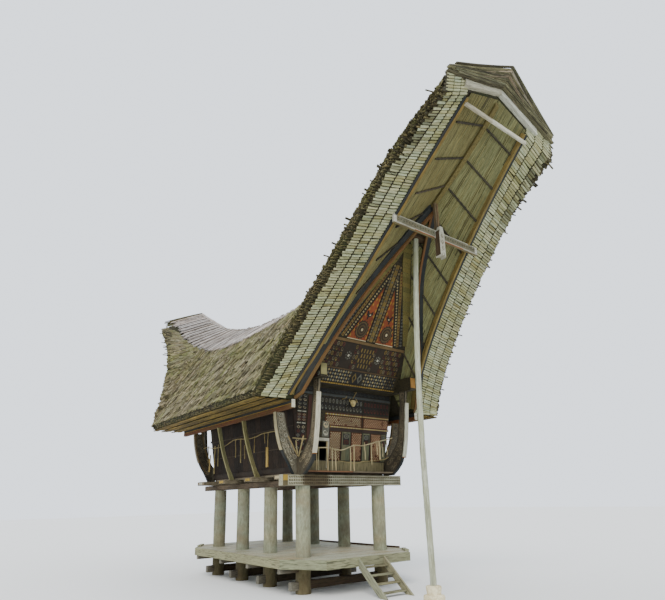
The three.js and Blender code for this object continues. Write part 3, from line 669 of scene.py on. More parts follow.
def ragged_edge(heap, edge, away, down, tangent, sign):
    """Rotten ends of the roof's lower layers, which stick out past the bands."""
    draw = heap.random.uniform
    for layer in range(EDGE_LAYERS):
        reach = draw(-0.02, 0.05) + 0.03 * layer * draw(0.0, 1.0) + (0.16 if draw(0, 1) < 0.04 else 0.0)
        reach = min(reach, OUTER_LIMIT - edge.x * sign)
        level = EDGE_LAYER_HEIGHT * layer - 0.03
        start = edge - away * 0.3 - down * level
        stop = edge + away * reach - down * (level + draw(-0.01, 0.02)) + tangent * draw(-0.06, 0.06)
        shade = heap.tone(0.4, (0.62, 0.58, 0.44) if draw(0, 1) < 0.75 else (1.3, 1.25, 1.0))
        heap.cane(start, stop, CANE_PITCH * draw(0.4, 0.75), 0.02, down, shade, look=1)


def tip_canes(heap, row, inner, across, down):
    """One level row of canes above the last slanting ones."""
    draw = heap.random.uniform
    lift = TIP_STEP * row + down * FRINGE_DEPTH
    for start, stop in BANDS:
        first = inner + across * start + lift
        last = inner + across * stop + lift
        heap.cane(first, last, TIP_STEP.z * draw(0.8, 0.92), CANE_BULGE, -ALONG_Y, heap.tone(0.13))
    for level in (-0.02, 0.02):
        first = inner + across * 0.9 + lift + UP * level
        last = inner + across * draw(1.0, 1.08) + lift + UP * (level + draw(-0.02, 0.02))
        heap.cane(first, last, TIP_STEP.z * draw(0.5, 0.8), 0.02, -ALONG_Y, heap.tone(0.4), look=1)


def fringe(name, end):
    """The bands on both sides of one gable opening, with thin dark poles in the gaps between them as painted
    shadow of the steps.
    """
    heap = Heap(f"fringe {name}")
    for sign in (-1, 1):
        lines = [[] for _ in BAND_SHADOW_LINES]
        for travel in steps(end.eave_length, end.travel_end - 0.02, CANE_PITCH):
            inner = bamboo_edge(end, sign, travel)
            outer = mirrored(end.section(travel)["outer"], sign)
            across = outer - inner
            tangent = end.tangent(travel, "inner")
            down = downward(across.cross(tangent).normalized())
            skew = tangent * -CANE_SKEW * changing(travel, end.eave_length, end.eave_length + 0.5, 0.0, 1.0)
            skew *= changing(travel, end.travel_end - 1.2, end.travel_end, 1.0, 0.1)
            band_canes(heap, end, travel, inner, across + skew, down)
            for line, share in zip(lines, BAND_SHADOW_LINES):
                line.append(inner + (across + skew) * share + down * (FRINGE_DEPTH + 0.002))
            ragged_edge(heap, outer + skew, across.normalized(), down, tangent, sign)
        for row in range(TIP_ROWS[name]):
            tip_canes(heap, row + 1, inner, across, down)
        # Painted shadow: dark poles along the gaps between the bands.
        for line in lines:
            heap.rod(line, 0.017, 5, (0.35, 0.3, 0.24), look=1)
    heap.piece(f"{name}_bamboo_fringe", ["bamboo", "rot"], smooth=50)


MATTING_ROWS = 62
MATTING_SPACING = 0.22
MATTING_DEPTH = 0.03
MATTING_MARGIN = 0.02
MATTING_SPAN = 0.95
SLAT_THICKNESS = 0.008
LEFT_HUE = (0.92, 0.9, 0.76)
RIGHT_HUE = (1.0, 1.06, 0.98)
DARK_SLAT = (0.35, 0.33, 0.27)


def matting(name, end, start_travel):
    """Long slats that line the underside of the open prow, darkened towards its tip as painted shade."""
    heap = Heap(f"matting {name}")
    draw = heap.random.uniform
    count = int((end.travel_end - start_travel) / MATTING_SPACING)
    places = [start_travel + (end.travel_end - 0.01 - start_travel) * i / count for i in range(count + 1)]
    sections = [end.section(place) for place in places]
    half = 0.46 * MATTING_SPAN / MATTING_ROWS
    for sign in (-1, 1):
        hue = LEFT_HUE if sign < 0 else RIGHT_HUE
        for row in range(MATTING_ROWS):
            share = MATTING_MARGIN + MATTING_SPAN * (row + 0.5) / MATTING_ROWS
            first = 0
            while first < count:
                last = min(first + heap.random.randint(4, 12), count)
                tint = heap.tone(0.2, hue)
                if draw(0, 1) < 0.05:
                    tint = heap.tone(0.2, DARK_SLAT)
                # Painted shade: slats near the tip of the prow are darkened.
                painted_tip_shade = changing(places[first], end.travel_end - 2.0, end.travel_end - 0.8, 1.0, 0.78)
                tint = dimmed(tint, painted_tip_shade)
                lift = draw(0.0, 0.006)
                rings = []
                for index in range(first, last + 1):
                    under = mirrored(sections[index]["under"], sign)
                    inner = mirrored(sections[index]["inner"], sign)
                    span = inner - under
                    down = downward(span.cross(ALONG_Y).normalized())
                    near = under + span * (share - half) + down * (MATTING_DEPTH + lift)
                    far = under + span * (share + half) + down * (MATTING_DEPTH + lift)
                    rings.append([near, far, far + down * SLAT_THICKNESS, near + down * SLAT_THICKNESS])
                heap.loft(rings, tint)
                first = last
    heap.piece(f"{name}_prow_matting", ["matting"])


RAFTER_SPACING = 0.6
RAFTER_DEPTH = 0.062
KNOT_SPACING = 0.14
EDGE_BOARDS = (("black", -0.015, 0.05, 0.095), ("ochre", 0.055, 0.12, 0.1))
EDGE_BOARD_RISE = 0.02


def rafter(heap, under, inner):
    """A thin knotted pole from the ridge down to the edge of the opening."""
    down = downward((inner - under).cross(ALONG_Y).normalized())
    knots = max(int((inner - under).length / KNOT_SPACING), 2)
    path = []
    radii = []
    for index in range(knots * 3 + 1):
        share = index / (knots * 3)
        path.append(under.lerp(inner, 0.03 + 0.93 * share) + down * RAFTER_DEPTH)
        radii.append(0.03 if index % 3 == 1 else 0.021 + heap.random.uniform(-0.003, 0.003))
    heap.rod(path, radii, 7, heap.tone(0.2))


def opening_edge(heap, end, sign):
    """The two boards along one edge of the opening, and the matting behind them where it shows."""
    rings = {key: [] for key, *_ in EDGE_BOARDS}
    lining = []
    away = ALONG_X * sign
    for travel in steps(end.eave_length + 0.02, end.travel_end - 0.01, 0.2):
        opening = mirrored(end.section(travel)["inner"], sign)
        inner = bamboo_edge(end, sign, travel)
        down = downward(away.cross(end.tangent(travel, "inner")).normalized())
        for key, near, far, depth in EDGE_BOARDS:
            high = inner - away * far - down * EDGE_BOARD_RISE
            low = inner - away * near - down * EDGE_BOARD_RISE
            fall = down * (depth + EDGE_BOARD_RISE)
            rings[key].append([high, low, low + fall, high + fall])
        high = opening - away * 0.04
        low = inner - away * 0.1
        lining.append([high - down * 0.01, low - down * 0.01, low + down * 0.035, high + down * 0.035])
    heap.loft(rings["black"], heap.tone(0.05), look=1)
    heap.loft(rings["ochre"], heap.tone(0.05), look=2)
    if end is FRONT and sign < 0:
        heap.loft(lining, LEFT_HUE, look=3)


def inner_rafters(name, end, start_along):
    """Thin knotted poles across the matting, and the boards along the edge of the opening."""
    heap = Heap(f"rafters {name}")
    along = end.length - 0.46
    while along > start_along:
        travel = next(t for t, part in end.stations
                      if end.eave_length + end.reach * part ** end.power >= along)
        section = end.section(travel)
        for sign in (-1, 1):
            rafter(heap, mirrored(section["under"], sign), mirrored(section["inner"], sign))
        along -= RAFTER_SPACING
    for sign in (-1, 1):
        opening_edge(heap, end, sign)
    materials = ["dark_pole", "black", "edge_ochre", "matting"]
    heap.piece(f"{name}_inner_rafters", materials, smooth=40)


THATCH_ROWS = 27
THATCH_PITCH = 0.08
GAP_SHARE = 0.08
EAVE_LAYERS = 4


def course_lift(share, length):
    """How far the stepped slope stands above the straight line from the knee to the lip."""
    return length * (4 * SLOPE_SWELL * share * (1 - share) + COURSE_RISE * (share * COURSE_COUNT % 1.0))


def thatch_row(heap, row, knee, slope, flat, out, tangent):
    """One short piece of rotten bamboo on the slope."""
    draw = heap.random.uniform
    if draw(0, 1) < GAP_SHARE:
        return
    length = slope.length
    share = min(max((row + draw(-0.3, 0.3)) / THATCH_ROWS, 0.0), 0.97)
    reach = draw(0.18, 0.5)
    stop_share = min(share + reach / max(length, 0.5), 1.0 + draw(0.0, 0.02))
    level = max(course_lift(share, length), course_lift(min(stop_share, 0.999), length) - 0.02)
    start = knee + slope * share + flat * (level + 0.005) + tangent * draw(-0.05, 0.05)
    stop = knee + slope * stop_share + flat * (level + draw(0.012, 0.05)) + tangent * draw(-0.12, 0.12)
    shade = draw(0, 1)
    colour = (0.6, 0.56, 0.47) if shade < 0.42 else (1.05, 1.02, 0.94) if shade < 0.8 else (0.78, 0.8, 0.55)
    heap.cane(start, stop, draw(0.04, 0.09), draw(0.012, 0.024), out, heap.tone(0.3, colour))


def slope_thatch(side, sign):
    """Rows of short rotten bamboo on one slope, and the ragged face of its eave."""
    heap = Heap(f"thatch {side}")
    draw = heap.random.uniform
    outwards = ALONG_X * sign
    for end in (FRONT, BACK):
        for travel in steps(0.0, end.travel_end - 0.03, THATCH_PITCH):
            section = end.section(travel)
            knee, lip, outer = (mirrored(section[key], sign) for key in ("knee", "lip", "outer"))
            slope = lip - knee
            tangent = end.tangent(max(travel, 0.05), "lip")
            out = upward(slope.normalized().cross(tangent).normalized())
            flat = Vector((-slope.z * sign, 0, slope.x * sign)).normalized()
            for row in range(THATCH_ROWS):
                thatch_row(heap, row, knee, slope, flat, out, tangent)
            for layer in range(EAVE_LAYERS):
                level = lip.lerp(outer, 0.1 + 0.25 * layer)
                direction = (outwards * 0.8 - UP * 0.25 + tangent * draw(-0.7, 0.7)).normalized()
                stop = level + direction * draw(0.01, 0.06)
                shade = (0.75, 0.7, 0.52)
                heap.cane(level - outwards * 0.12, stop, draw(0.04, 0.08), 0.02, UP, heap.tone(0.35, shade))
    heap.piece(f"{side}_slope_bamboo", ["thatch"])


EAVE_LATH_ROWS = 14
EAVE_LATHS_X = (2.17, 3.09)


def eave_laths():
    """Long laths under the straight eaves, in steps, with a ragged outer row."""
    heap = Heap("eave laths")
    draw = heap.random.uniform
    low_y = FRONT.y(FRONT.eave_length) + 0.02
    high_y = BACK.y(BACK.eave_length) - 0.02
    for sign in (-1, 1):
        for row in range(EAVE_LATH_ROWS):
            x = EAVE_LATHS_X[0] + (EAVE_LATHS_X[1] - EAVE_LATHS_X[0]) * row / (EAVE_LATH_ROWS - 1)
            step = 0.012 + 0.035 * (row % 5) / 4
            wobble = 0.008 if row < EAVE_LATH_ROWS - 2 else 0.03
            y = low_y
            while y < high_y - 0.3:
                stop = min(y + draw(0.9, 2.6), high_y)
                ends = [Vector((sign * (x + draw(-wobble, wobble)), place,
                                EAVE_Z - step + draw(-0.008, 0.005))) for place in (y, stop)]
                heap.cane(*ends, draw(0.05, 0.072), 0.028, -UP, heap.tone(0.35))
                y = stop + 0.01
    heap.piece("eave_laths", ["eave_laths"], smooth=50)


CAP_PITCH = 0.15
CAP_PLANK = 0.022
CAP_TIP_LOSS = (0.4, 0.44, 0.58)
CAP_LEAN_LENGTH = 2.2
BACK_LAYER_HEIGHT = 0.07
BACK_LAYER_LENGTH = 1.25
UNDER_LEVELS = (0.012, 0.043)
UNDER_COLOUR = (0.55, 0.52, 0.48)
STEP_BETWEEN = 0.022


def cap_plank(heap, end, along, sign, level, colour=WHITE):
    """One plank from the ridge down to the knee, at a level above the roofing."""
    draw = heap.random.uniform
    stop = end.length + end.cap_lean
    share = max(along - (stop - CAP_LEAN_LENGTH), 0.0) / CAP_LEAN_LENGTH
    knee_along = along - (end.cap_lean - end.knee_lean) * share ** 2
    top = end.ridge_point(along) + UP * level
    knee = mirrored(end.knee_point(knee_along), sign) + UP * level
    direction = (knee - top).normalized()
    out = upward(direction.cross(ALONG_Y))
    extra = draw(-0.1, 0.14)
    if end is FRONT:
        extra -= changing(along, 6.8, 8.4, 0.0, draw(0.1, 0.24))
        fade = changing(along, end.length - 0.2, end.length + 0.1, 0.0, 1.0)
        colour = tuple(value * (1 - fade * loss) for value, loss in zip(colour, CAP_TIP_LOSS))
    else:
        extra -= changing(along, 6.2, 7.0, 0.0, 0.2)
    start = top - direction * draw(0.0, 0.06)
    finish = knee + direction * extra + ALONG_Y * draw(-0.05, 0.05)
    width = CAP_PITCH * draw(0.98, 1.25)
    heap.plank(start, finish, width, CAP_PLANK, out, heap.tone(0.2, colour), bow=draw(-0.015, 0.02), parts=4,
               end_width=width * draw(0.7, 1.0))


def cap_planks():
    """Grey planks from the ridge down both sides, over two darker layers, with ragged lower ends."""
    heap = Heap("cap planks")
    draw = heap.random.uniform
    top_level = CAP_THICKNESS - CAP_PLANK / 2
    for end in (FRONT, BACK):
        stop = end.length + end.cap_lean
        for index, along in enumerate(steps(0.0, stop, CAP_PITCH)):
            for sign in (-1, 1):
                for under_level in UNDER_LEVELS:
                    level = under_level + draw(0.0, 0.006)
                    cap_plank(heap, end, along - 0.5 * CAP_PITCH, sign, level, UNDER_COLOUR)
                level = top_level - STEP_BETWEEN * (index % 2) + draw(-0.008, 0.004)
                cap_plank(heap, end, along, sign, level)
    back_stop = BACK.length + BACK.cap_lean
    for index, along in enumerate(steps(back_stop - BACK_LAYER_LENGTH, back_stop, CAP_PITCH)):
        for sign in (-1, 1):
            for level in (0.5 * BACK_LAYER_HEIGHT, BACK_LAYER_HEIGHT - STEP_BETWEEN * (index % 2)):
                cap_plank(heap, BACK, along, sign, top_level + level)
    heap.piece("ridge_cap_planks", ["cap"], replaces=["ridge_cap"])


CAP_LAYERS = {"front": 6, "back": 10}
FIRST_LAYER = {"front": 0.05, "back": 0.13}
LATHS_IN_LAYER = 6
LAYER_DROP = 0.019


def end_cap_layers(name, end):
    """Ragged laths stacked under the cap at the very end of the roof, seen from below."""
    heap = Heap(f"{name} cap layers")
    draw = heap.random.uniform
    for layer in range(CAP_LAYERS[name]):
        depth = 0.34 * (1 - layer / (CAP_LAYERS[name] + 0.5))
        drop = UP * (FIRST_LAYER[name] - LAYER_DROP * layer)
        for row in range(LATHS_IN_LAYER):
            share = (row + 0.5) / LATHS_IN_LAYER
            for sign in (-1, 1):
                top = end.ridge_point(end.length + end.cap_lean - 0.29 + depth * share) + drop
                knee_along = end.length + end.knee_lean - 0.005 + 0.11 * share
                knee = mirrored(end.knee_point(knee_along), sign) + drop
                direction = (knee - top).normalized()
                out = upward(direction.cross(ALONG_Y))
                reach = draw(-0.3, 0.0) + (0.14 if draw(0, 1) < 0.25 else 0.0)
                finish = knee + direction * reach + ALONG_Y * draw(-0.04, 0.03)
                shade = heap.tone(0.25, (0.88, 0.87, 0.74) if draw(0, 1) < 0.6 else (0.4, 0.38, 0.33))
                heap.plank(top, finish, draw(0.055, 0.085), 0.02, out, shade, parts=3, bow=draw(-0.02, 0.015))
    heap.piece(f"{name}_cap_layers", ["cap_end"])


STACK_ROWS = 19


def back_end_stack():
    """Ends of the bamboo layers, stacked under the cap on the back gable."""
    heap = Heap("back end stack")
    draw = heap.random.uniform
    section = BACK.section(BACK.travel_end)
    for sign in (-1, 1):
        under, inner, outer, ridge, knee = (
            mirrored(section[key], sign) for key in ("under", "inner", "outer", "ridge", "knee"))
        for row in range(STACK_ROWS):
            rise = (row + 0.5) / STACK_ROWS
            place = 0.0
            while place < 1.0:
                stop = min(place + draw(0.08, 0.22), 1.0)
                ends = []
                for share in (place, stop):
                    low = under.lerp(inner, share * 2) if share < 0.5 else inner.lerp(outer, share * 2 - 1)
                    ends.append(low.lerp(ridge.lerp(knee, share), rise) + ALONG_Y * draw(0.0, 0.03))
                height = (section["knee"] - section["outer"]).length / STACK_ROWS
                colour = (0.9, 0.86, 0.66) if draw(0, 1) < 0.6 else (0.55, 0.52, 0.42)
                heap.cane(*ends, max(height, 0.05) * draw(1.1, 1.4), 0.03, ALONG_Y, heap.tone(0.3, colour))
                place = stop
    heap.piece("back_end_stack", ["cap_end"], smooth=50)


MATTING_START = {"front": 2.75, "back": 3.3}
RAFTERS_START = {"front": 3.4, "back": 3.95}


def make_roof():
    for name, end in ENDS:
        fringe(name, end)
        matting(name, end, MATTING_START[name])
        inner_rafters(name, end, RAFTERS_START[name])
    for side, sign in SIDES:
        slope_thatch(side, sign)
    eave_laths()
    cap_planks()
    for name, end in ENDS:
        end_cap_layers(name, end)
    back_end_stack()


make_roof()


# Posts, ties and the sitting platform

def node_box(name):
    """A node's lowest and highest corners in the barn's own frame."""
    low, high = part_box(name)
    return Vector(low) - FRAME_SHIFT, Vector(high) - FRAME_SHIFT


def hewn_node(heap, name, tint, parts=8):
    """A hewn timber with paler cut ends in the place of a straight node."""
    low, high = node_box(name)
    size = high - low
    axis = max(range(3), key=lambda index: size[index])
    start = (low + high) / 2
    end = start.copy()
    start[axis] = low[axis] + 0.002
    end[axis] = high[axis] - 0.002
    width = size.y if axis == 0 else size.x
    heap.bar(start, end, width - 0.004, size.z - 0.004, tint, chamfer=0.014, parts=parts)


ROWS = ("front", "second", "third", "back")
# Painted shade: levels that darken the posts further back, those on the right most of all, for the shade
# under the barn.
POST_PAINTED_SHADE = {"left": (1.0, 0.92, 0.84, 0.78), "right": (0.98, 0.72, 0.6, 0.55)}
POST_RINGS = 18
POST_SIDES = 20
FLOOR_Z = 0.84


def posts(side, sign):
    """Four thick round posts, hewn a little unevenly, dark at the foot, with the rows further back darkened
    as painted shade.
    """
    heap = Heap(f"posts {side}")
    draw = heap.random.uniform
    for row in range(ROW_COUNT):
        flats = [draw(-0.006, 0.002) for _ in range(POST_SIDES)]
        turn = draw(0, 6)
        rings = []
        tints = []
        for index in range(POST_RINGS + 1):
            z = POST_HEIGHT * index / POST_RINGS
            ring = []
            for i, angle in enumerate(around(POST_SIDES)):
                swell = flats[i] * math.sin(turn + 2.3 * z + 0.7 * i)
                radius = POST_RADIUS - 0.002 + swell + draw(-0.0025, 0.0015)
                ring.append(Vector((sign * POST_X + radius * math.cos(angle),
                                    row * ROW_SPACING + radius * math.sin(angle), z)))
            rings.append(ring)
            colour = (0.5, 0.42, 0.32) if z < FLOOR_Z else heap.tone(0.05)
            # painted shade: each post's colour is dimmed by its row's level
            tints.append(dimmed(colour, POST_PAINTED_SHADE[side][row]))
        heap.loft(rings, tints)
    nodes = [f"post_{row}_{side}" for row in ROWS]
    heap.piece(f"{side}_posts", ["post"], replaces=nodes, smooth=40)


def ties_and_bearers():
    """The beams through the posts, dark with pale cut ends."""
    heap = Heap("ties")
    nodes = [f"low_tie_{row}" for row in ROWS] + [f"floor_bearer_{row}" for row in ROWS]
    for name in nodes:
        dark = heap.tone(0.15, (0.7, 0.68, 0.62))
        pale = heap.tone(0.1, (1.9, 2.5, 3.3))
        hewn_node(heap, name, [pale, *[dark] * 7, pale])
    heap.piece("ties_and_bearers", ["beam"], replaces=nodes)


PLATFORM_TOP = 0.8365
PLATFORM_BOTTOM = 0.7853
PLATFORM_HALF = 2.03
PLATFORM_FRONT_HALF = 1.35
PLATFORM_FRONT_Y = -1.07
PLATFORM_SIDE_Y = -0.10
EDGE_BOARD = 0.05
EDGE_BOARD_BOTTOM = 0.62
PLANK_WIDTH = 0.2


def platform_half(y, inset):
    """Half width of the eight-sided platform at a place along it, inside its outline by an inset."""
    near = min(y, 2 * MIDDLE_Y - y)
    run_x = PLATFORM_HALF - PLATFORM_FRONT_HALF
    run_y = PLATFORM_SIDE_Y - PLATFORM_FRONT_Y
    length = math.hypot(run_x, run_y)
    offset = (run_y * PLATFORM_FRONT_HALF - run_x * PLATFORM_FRONT_Y) / length - inset
    return min(PLATFORM_HALF - inset, (offset * length + run_x * near) / run_y)


def platform_planks():
    """Worn floor planks across the barn, some of them in two or three lengths."""
    heap = Heap("platform planks")
    draw = heap.random.uniform
    first = PLATFORM_FRONT_Y + EDGE_BOARD
    last = 2 * MIDDLE_Y - first
    count = round((last - first) / PLANK_WIDTH)
    inset = EDGE_BOARD + 0.004
    for index in range(count):
        low_y = first + (last - first) * index / count + 0.003
        high_y = first + (last - first) * (index + 1) / count - 0.003
        low_half = platform_half(low_y, inset)
        high_half = platform_half(high_y, inset)
        breaks = sorted(draw(-0.75, 0.75) for _ in range(heap.random.choice((0, 1, 1, 2))))
        shares = [-1.0, *breaks, 1.0]
        for start, stop in zip(shares, shares[1:]):
            top = PLATFORM_TOP - draw(0.0, 0.007)
            rings = []
            for share, gap in ((start, 0.003), (stop, -0.003)):
                near = share * low_half + gap
                far = share * high_half + gap
                corners = ((near, low_y, PLATFORM_BOTTOM), (far, high_y, PLATFORM_BOTTOM), (far, high_y, top),
                           (near, low_y, top))
                rings.append([Vector(corner) for corner in corners])
            heap.loft(rings, heap.tone(0.13))
    heap.piece("platform_planks", ["floor"], replaces=["platform_floor"])


def platform_corners(inset):
    """Corners of the platform's outline, moved inwards, anticlockwise from the front right."""
    corners = []
    for near_y in (PLATFORM_FRONT_Y + inset, PLATFORM_SIDE_Y):
        corners.append((platform_half(near_y, inset), near_y))
    back = [(x, 2 * MIDDLE_Y - y) for x, y in reversed(corners)]
    right = corners + back
    return right + [(-x, y) for x, y in reversed(right)]


def platform_edges():
    """Upright boards round the platform, a dark kerb along its right side and worn blocks on two corners."""
    heap = Heap("platform edges")
    corners = platform_corners(EDGE_BOARD / 2)
    middle = (PLATFORM_TOP + EDGE_BOARD_BOTTOM) / 2
    for index, (x, y) in enumerate(corners):
        next_x, next_y = corners[(index + 1) % len(corners)]
        start = Vector((x, y, middle))
        end = Vector((next_x, next_y, middle))
        past = (end - start).normalized() * 0.012
        heap.bar(start - past, end + past, EDGE_BOARD, PLATFORM_TOP - EDGE_BOARD_BOTTOM,
                 heap.tone(0.08, (0.92, 0.92, 0.84)), chamfer=0.008, parts=10, wobble=0.003)
    kerb_x = PLATFORM_HALF - 0.04
    top = PLATFORM_TOP + 0.02
    ends = [(kerb_x, y, top) for y in (PLATFORM_SIDE_Y + 0.1, 2 * MIDDLE_Y - 0.1)]
    heap.bar(*ends, 0.07, 0.045, (0.75, 0.5, 0.4), look=1, chamfer=0.006)
    for sign, base_y in ((1, PLATFORM_FRONT_Y), (-1, 2 * MIDDLE_Y - PLATFORM_FRONT_Y)):
        start = (sign * (PLATFORM_FRONT_HALF + 0.1), base_y + sign * 0.2, top)
        end = (sign * (PLATFORM_FRONT_HALF + 0.42), base_y + sign * 0.66, top)
        heap.bar(start, end, 0.11, 0.045, (1.1, 1.1, 1.08), chamfer=0.01)
    nodes = [f"platform_edge_{key}" for key in ("right", "back", "left", "front")]
    heap.piece("platform_edge_boards", ["grey", "beam"], replaces=nodes)


LADDER_X = (-0.40, 0.47)
LADDER_BOARD = 0.05
LADDER_DEPTH = 0.17
LADDER_TOP = 0.80
LADDER_FOOT_Y = -2.02
LADDER_PARTS = 8
TREADS = (0.62, 0.45, 0.28, 0.11)
TREAD_DEPTH = 0.15
TREAD_THICKNESS = 0.036


def ladder():
    """Two slanting side boards, cut level at the ground, with treads between them."""
    heap = Heap("ladder")
    top_y = PLATFORM_FRONT_Y - 0.001
    angle = math.atan2(LADDER_TOP, top_y - LADDER_FOOT_Y)
    half_drop = LADDER_DEPTH / math.cos(angle) / 2
    half_foot = half_drop / math.tan(angle)
    foot = Vector((0, LADDER_FOOT_Y + LADDER_DEPTH / math.sin(angle) / 2, 0))
    top = Vector((0, top_y, LADDER_TOP - half_drop))
    for x in (LADDER_X[0] + LADDER_BOARD / 2, LADDER_X[1] - LADDER_BOARD / 2):
        rings = []
        for index in range(LADDER_PARTS + 1):
            place = foot.lerp(top, index / LADDER_PARTS) + ALONG_X * x
            drop = UP * half_drop if index else Vector((0, half_foot, 0))
            side = ALONG_X * (LADDER_BOARD / 2 + heap.random.uniform(-0.003, 0.0))
            rings.append([place - side - drop, place + side - drop, place + side + drop, place - side + drop])
        reaches = (half_foot, half_foot, -half_foot, -half_foot)
        rings[0] = [Vector((point.x, foot.y + reach, 0.0)) for point, reach in zip(rings[0], reaches)]
        heap.loft([[Vector((point.x, point.y, max(point.z, 0.0))) for point in ring] for ring in rings],
                  heap.tone(0.05))
    for height in TREADS:
        y = top_y - (LADDER_TOP - half_drop - height) / math.tan(angle)
        ends = [(x, y, height - TREAD_THICKNESS / 2) for x in (LADDER_X[0] + 0.03, LADDER_X[1] - 0.03)]
        heap.bar(*ends, TREAD_DEPTH, TREAD_THICKNESS, heap.tone(0.12, (0.82, 0.8, 0.74)),
                 chamfer=0.006, parts=5, wobble=0.002)
    heap.piece("ladder_boards", ["grey"], replaces=["ladder"])


POLE_FOOT = Vector((0.12, -2.95, 0.3503))
POLE_TOP = Vector((0.0, -3.22, 8.45))
POLE_RADII = (0.073, 0.063)
POLE_KNOTS = 26
POLE_BOW = Vector((-0.793, 0.609, 0.0)) * 0.11
FOOTING_RINGS = ((0.0, 0.198), (0.03, 0.2), (0.13, 0.196), (0.16, 0.185), (0.17, 0.15), (0.172, 0.13),
                 (0.21, 0.132), (0.3, 0.144), (0.335, 0.142), (0.35, 0.125))
FOOTING_SIDES = 28


def pole():
    """The long bowed pole under the prow, with knots."""
    heap = Heap("pole")
    path = []
    radii = []
    for index in range(POLE_KNOTS * 3 + 1):
        share = index / (POLE_KNOTS * 3)
        path.append(POLE_FOOT.lerp(POLE_TOP, share) + POLE_BOW * math.sin(math.pi * share ** 1.15))
        swell = 0.003 if index % 3 == 1 else heap.random.uniform(-0.001, 0.001)
        radii.append(POLE_RADII[0] + (POLE_RADII[1] - POLE_RADII[0]) * share - 0.003 + swell)
    heap.rod(path, radii, 12)
    heap.piece("leaning_pole", ["pole"], replaces=["prow_pole"], smooth=50)


def footing():
    """A worn stone of two tiers, round with a hint of corners."""
    heap = Heap("footing")
    rings = []
    for z, half in FOOTING_RINGS:
        places = []
        for angle in around(FOOTING_SIDES):
            swell = (abs(math.cos(angle)) ** 4 + abs(math.sin(angle)) ** 4) ** -0.25
            reach = half * swell + heap.random.uniform(-0.002, 0.0)
            places.append((POLE_FOOT.x + reach * math.cos(angle), POLE_FOOT.y + reach * math.sin(angle)))
        rings.append(ring_at(z, *places))
    heap.loft(rings)
    heap.piece("round_footing", ["footing"], replaces=["pole_footing"], smooth=40)


# Earth colours, and the carved figures in them

CREAM = rgb("a69976")
CHALK = rgb("a9a692")
RED = rgb("6b3323")
DARK_RED = rgb("482419")
OCHRE = rgb("8a6527")
ORANGE = rgb("96481e")
YELLOW = rgb("9c8236")
BLACK = rgb("1c1a17")
GREY = rgb("5c5c50")
GREEN_BLACK = rgb("2a302b")
BLUE_BLACK = rgb("262c2c")
BEAM_BROWN = rgb("6d604a")


def lozenge(face, heap, u, z, half_u, half_z, depth, thickness, tint):
    corners = [(u - half_u, z), (u, z - half_z), (u + half_u, z), (u, z + half_z)]
    face.chip(heap, corners, depth, thickness, tint)


SCROLL_TAIL = ((-0.9, -0.1), (-0.2, -0.85), (0.7, -0.7), (1, 0.5), (0.55, -0.2), (-0.1, -0.45))


def motif(face, heap, kind, u, z, half_u, half_z, depth, tint, ground):
    """One carved figure of a strip, standing about 6 mm proud."""
    if kind == "dot":
        face.oval(heap, u, z, half_u, half_z, depth, 0.006, tint, sides=10)
    elif kind == "lozenge":
        lozenge(face, heap, u, z, half_u, half_z, depth, 0.006, tint)
    elif kind == "eye":
        lozenge(face, heap, u, z, half_u, half_z, depth, 0.005, tint)
        lozenge(face, heap, u, z, half_u * 0.5, half_z * 0.5, depth + 0.005, 0.003, ground)
    elif kind == "ring":
        for size, level, height, colour, sides in ((1, 0, 0.005, tint, 12), (0.62, 0.005, 0.003, ground, 12),
                                                   (0.3, 0.008, 0.003, tint, 8)):
            face.oval(heap, u, z, half_u * size, half_z * size, depth + level, height, colour, sides)
    elif kind == "square":
        face.plate(heap, u - half_u, u + half_u, z - half_z, z + half_z, depth, 0.006, tint)
    elif kind == "scroll":
        for shift, size, level, height, colour, sides in ((0.3, 0.62, 0, 0.005, tint, 12),
                                                          (0.22, 0.38, 0.005, 0.003, ground, 10)):
            face.oval(heap, u - half_u * shift, z + half_z * 0.2, half_u * size, half_z * size,
                      depth + level, height, colour, sides)
        outline = [(u + half_u * a, z + half_z * b) for a, b in SCROLL_TAIL]
        face.chip(heap, outline, depth, 0.005, tint)


def strip(face, heap, left, right, low, high, ground, tints, kind, pitch, depth=0.005):
    """A painted strip with one row of carved figures along its longer way."""
    face.plate(heap, left, right, low, high, 0.0, depth, ground)
    upright = high - low > right - left
    length, across = (high - low, right - left) if upright else (right - left, high - low)
    count = max(int(length / pitch), 1)
    spacing = length / count
    for index in range(count):
        place = (index + 0.5) * spacing
        tint = heap.tone(0.08, tints[index % len(tints)])
        if upright:
            spot = ((left + right) / 2, low + place, across * 0.4, spacing * 0.42)
        else:
            spot = (left + place, (low + high) / 2, spacing * 0.42, across * 0.4)
        motif(face, heap, kind, *spot, depth, tint, ground)


def lozenge_field(face, heap, left, right, low, high, pitch, tint, depth=0.004, fill=0.82, skip=0.04):
    """Staggered rows of small lozenges."""
    rows = max(int((high - low) / (pitch * 0.5)), 1)
    count = max(int((right - left) / pitch), 1)
    spacing = (right - left) / count
    half_u, half_z = spacing * 0.5 * fill, pitch * 0.5 * fill
    for row, z in enumerate(spread(low, high, rows)):
        shift = 0.5 if row % 2 else 0.0
        for index in range(count - (row % 2)):
            if heap.random.random() < skip:
                continue
            u = left + (index + 0.5 + shift) * spacing
            lozenge(face, heap, u, z, half_u, half_z, depth, 0.006, heap.tone(0.12, tint))


# Beams and joists under the store room

def sills():
    """The two long timbers on the post tops."""
    heap = Heap("sills")
    for side, _ in SIDES:
        hewn_node(heap, f"sill_{side}", heap.tone(0.1), parts=12)
    heap.piece("long_sills", ["beam"], replaces=["sill_left", "sill_right"])


BEAM_PARTS = 24
BEAM_FIGURES = 56
BEAM_ROWS = ((0.22, "scroll"), (0.5, "eye"), (0.78, "scroll"))
BEAM_STAIN = (-1.45, -0.5)
BEAM_INSET = 0.002
FACE_INSET = 0.008


def stained(x):
    return BEAM_STAIN[0] < x < BEAM_STAIN[1]


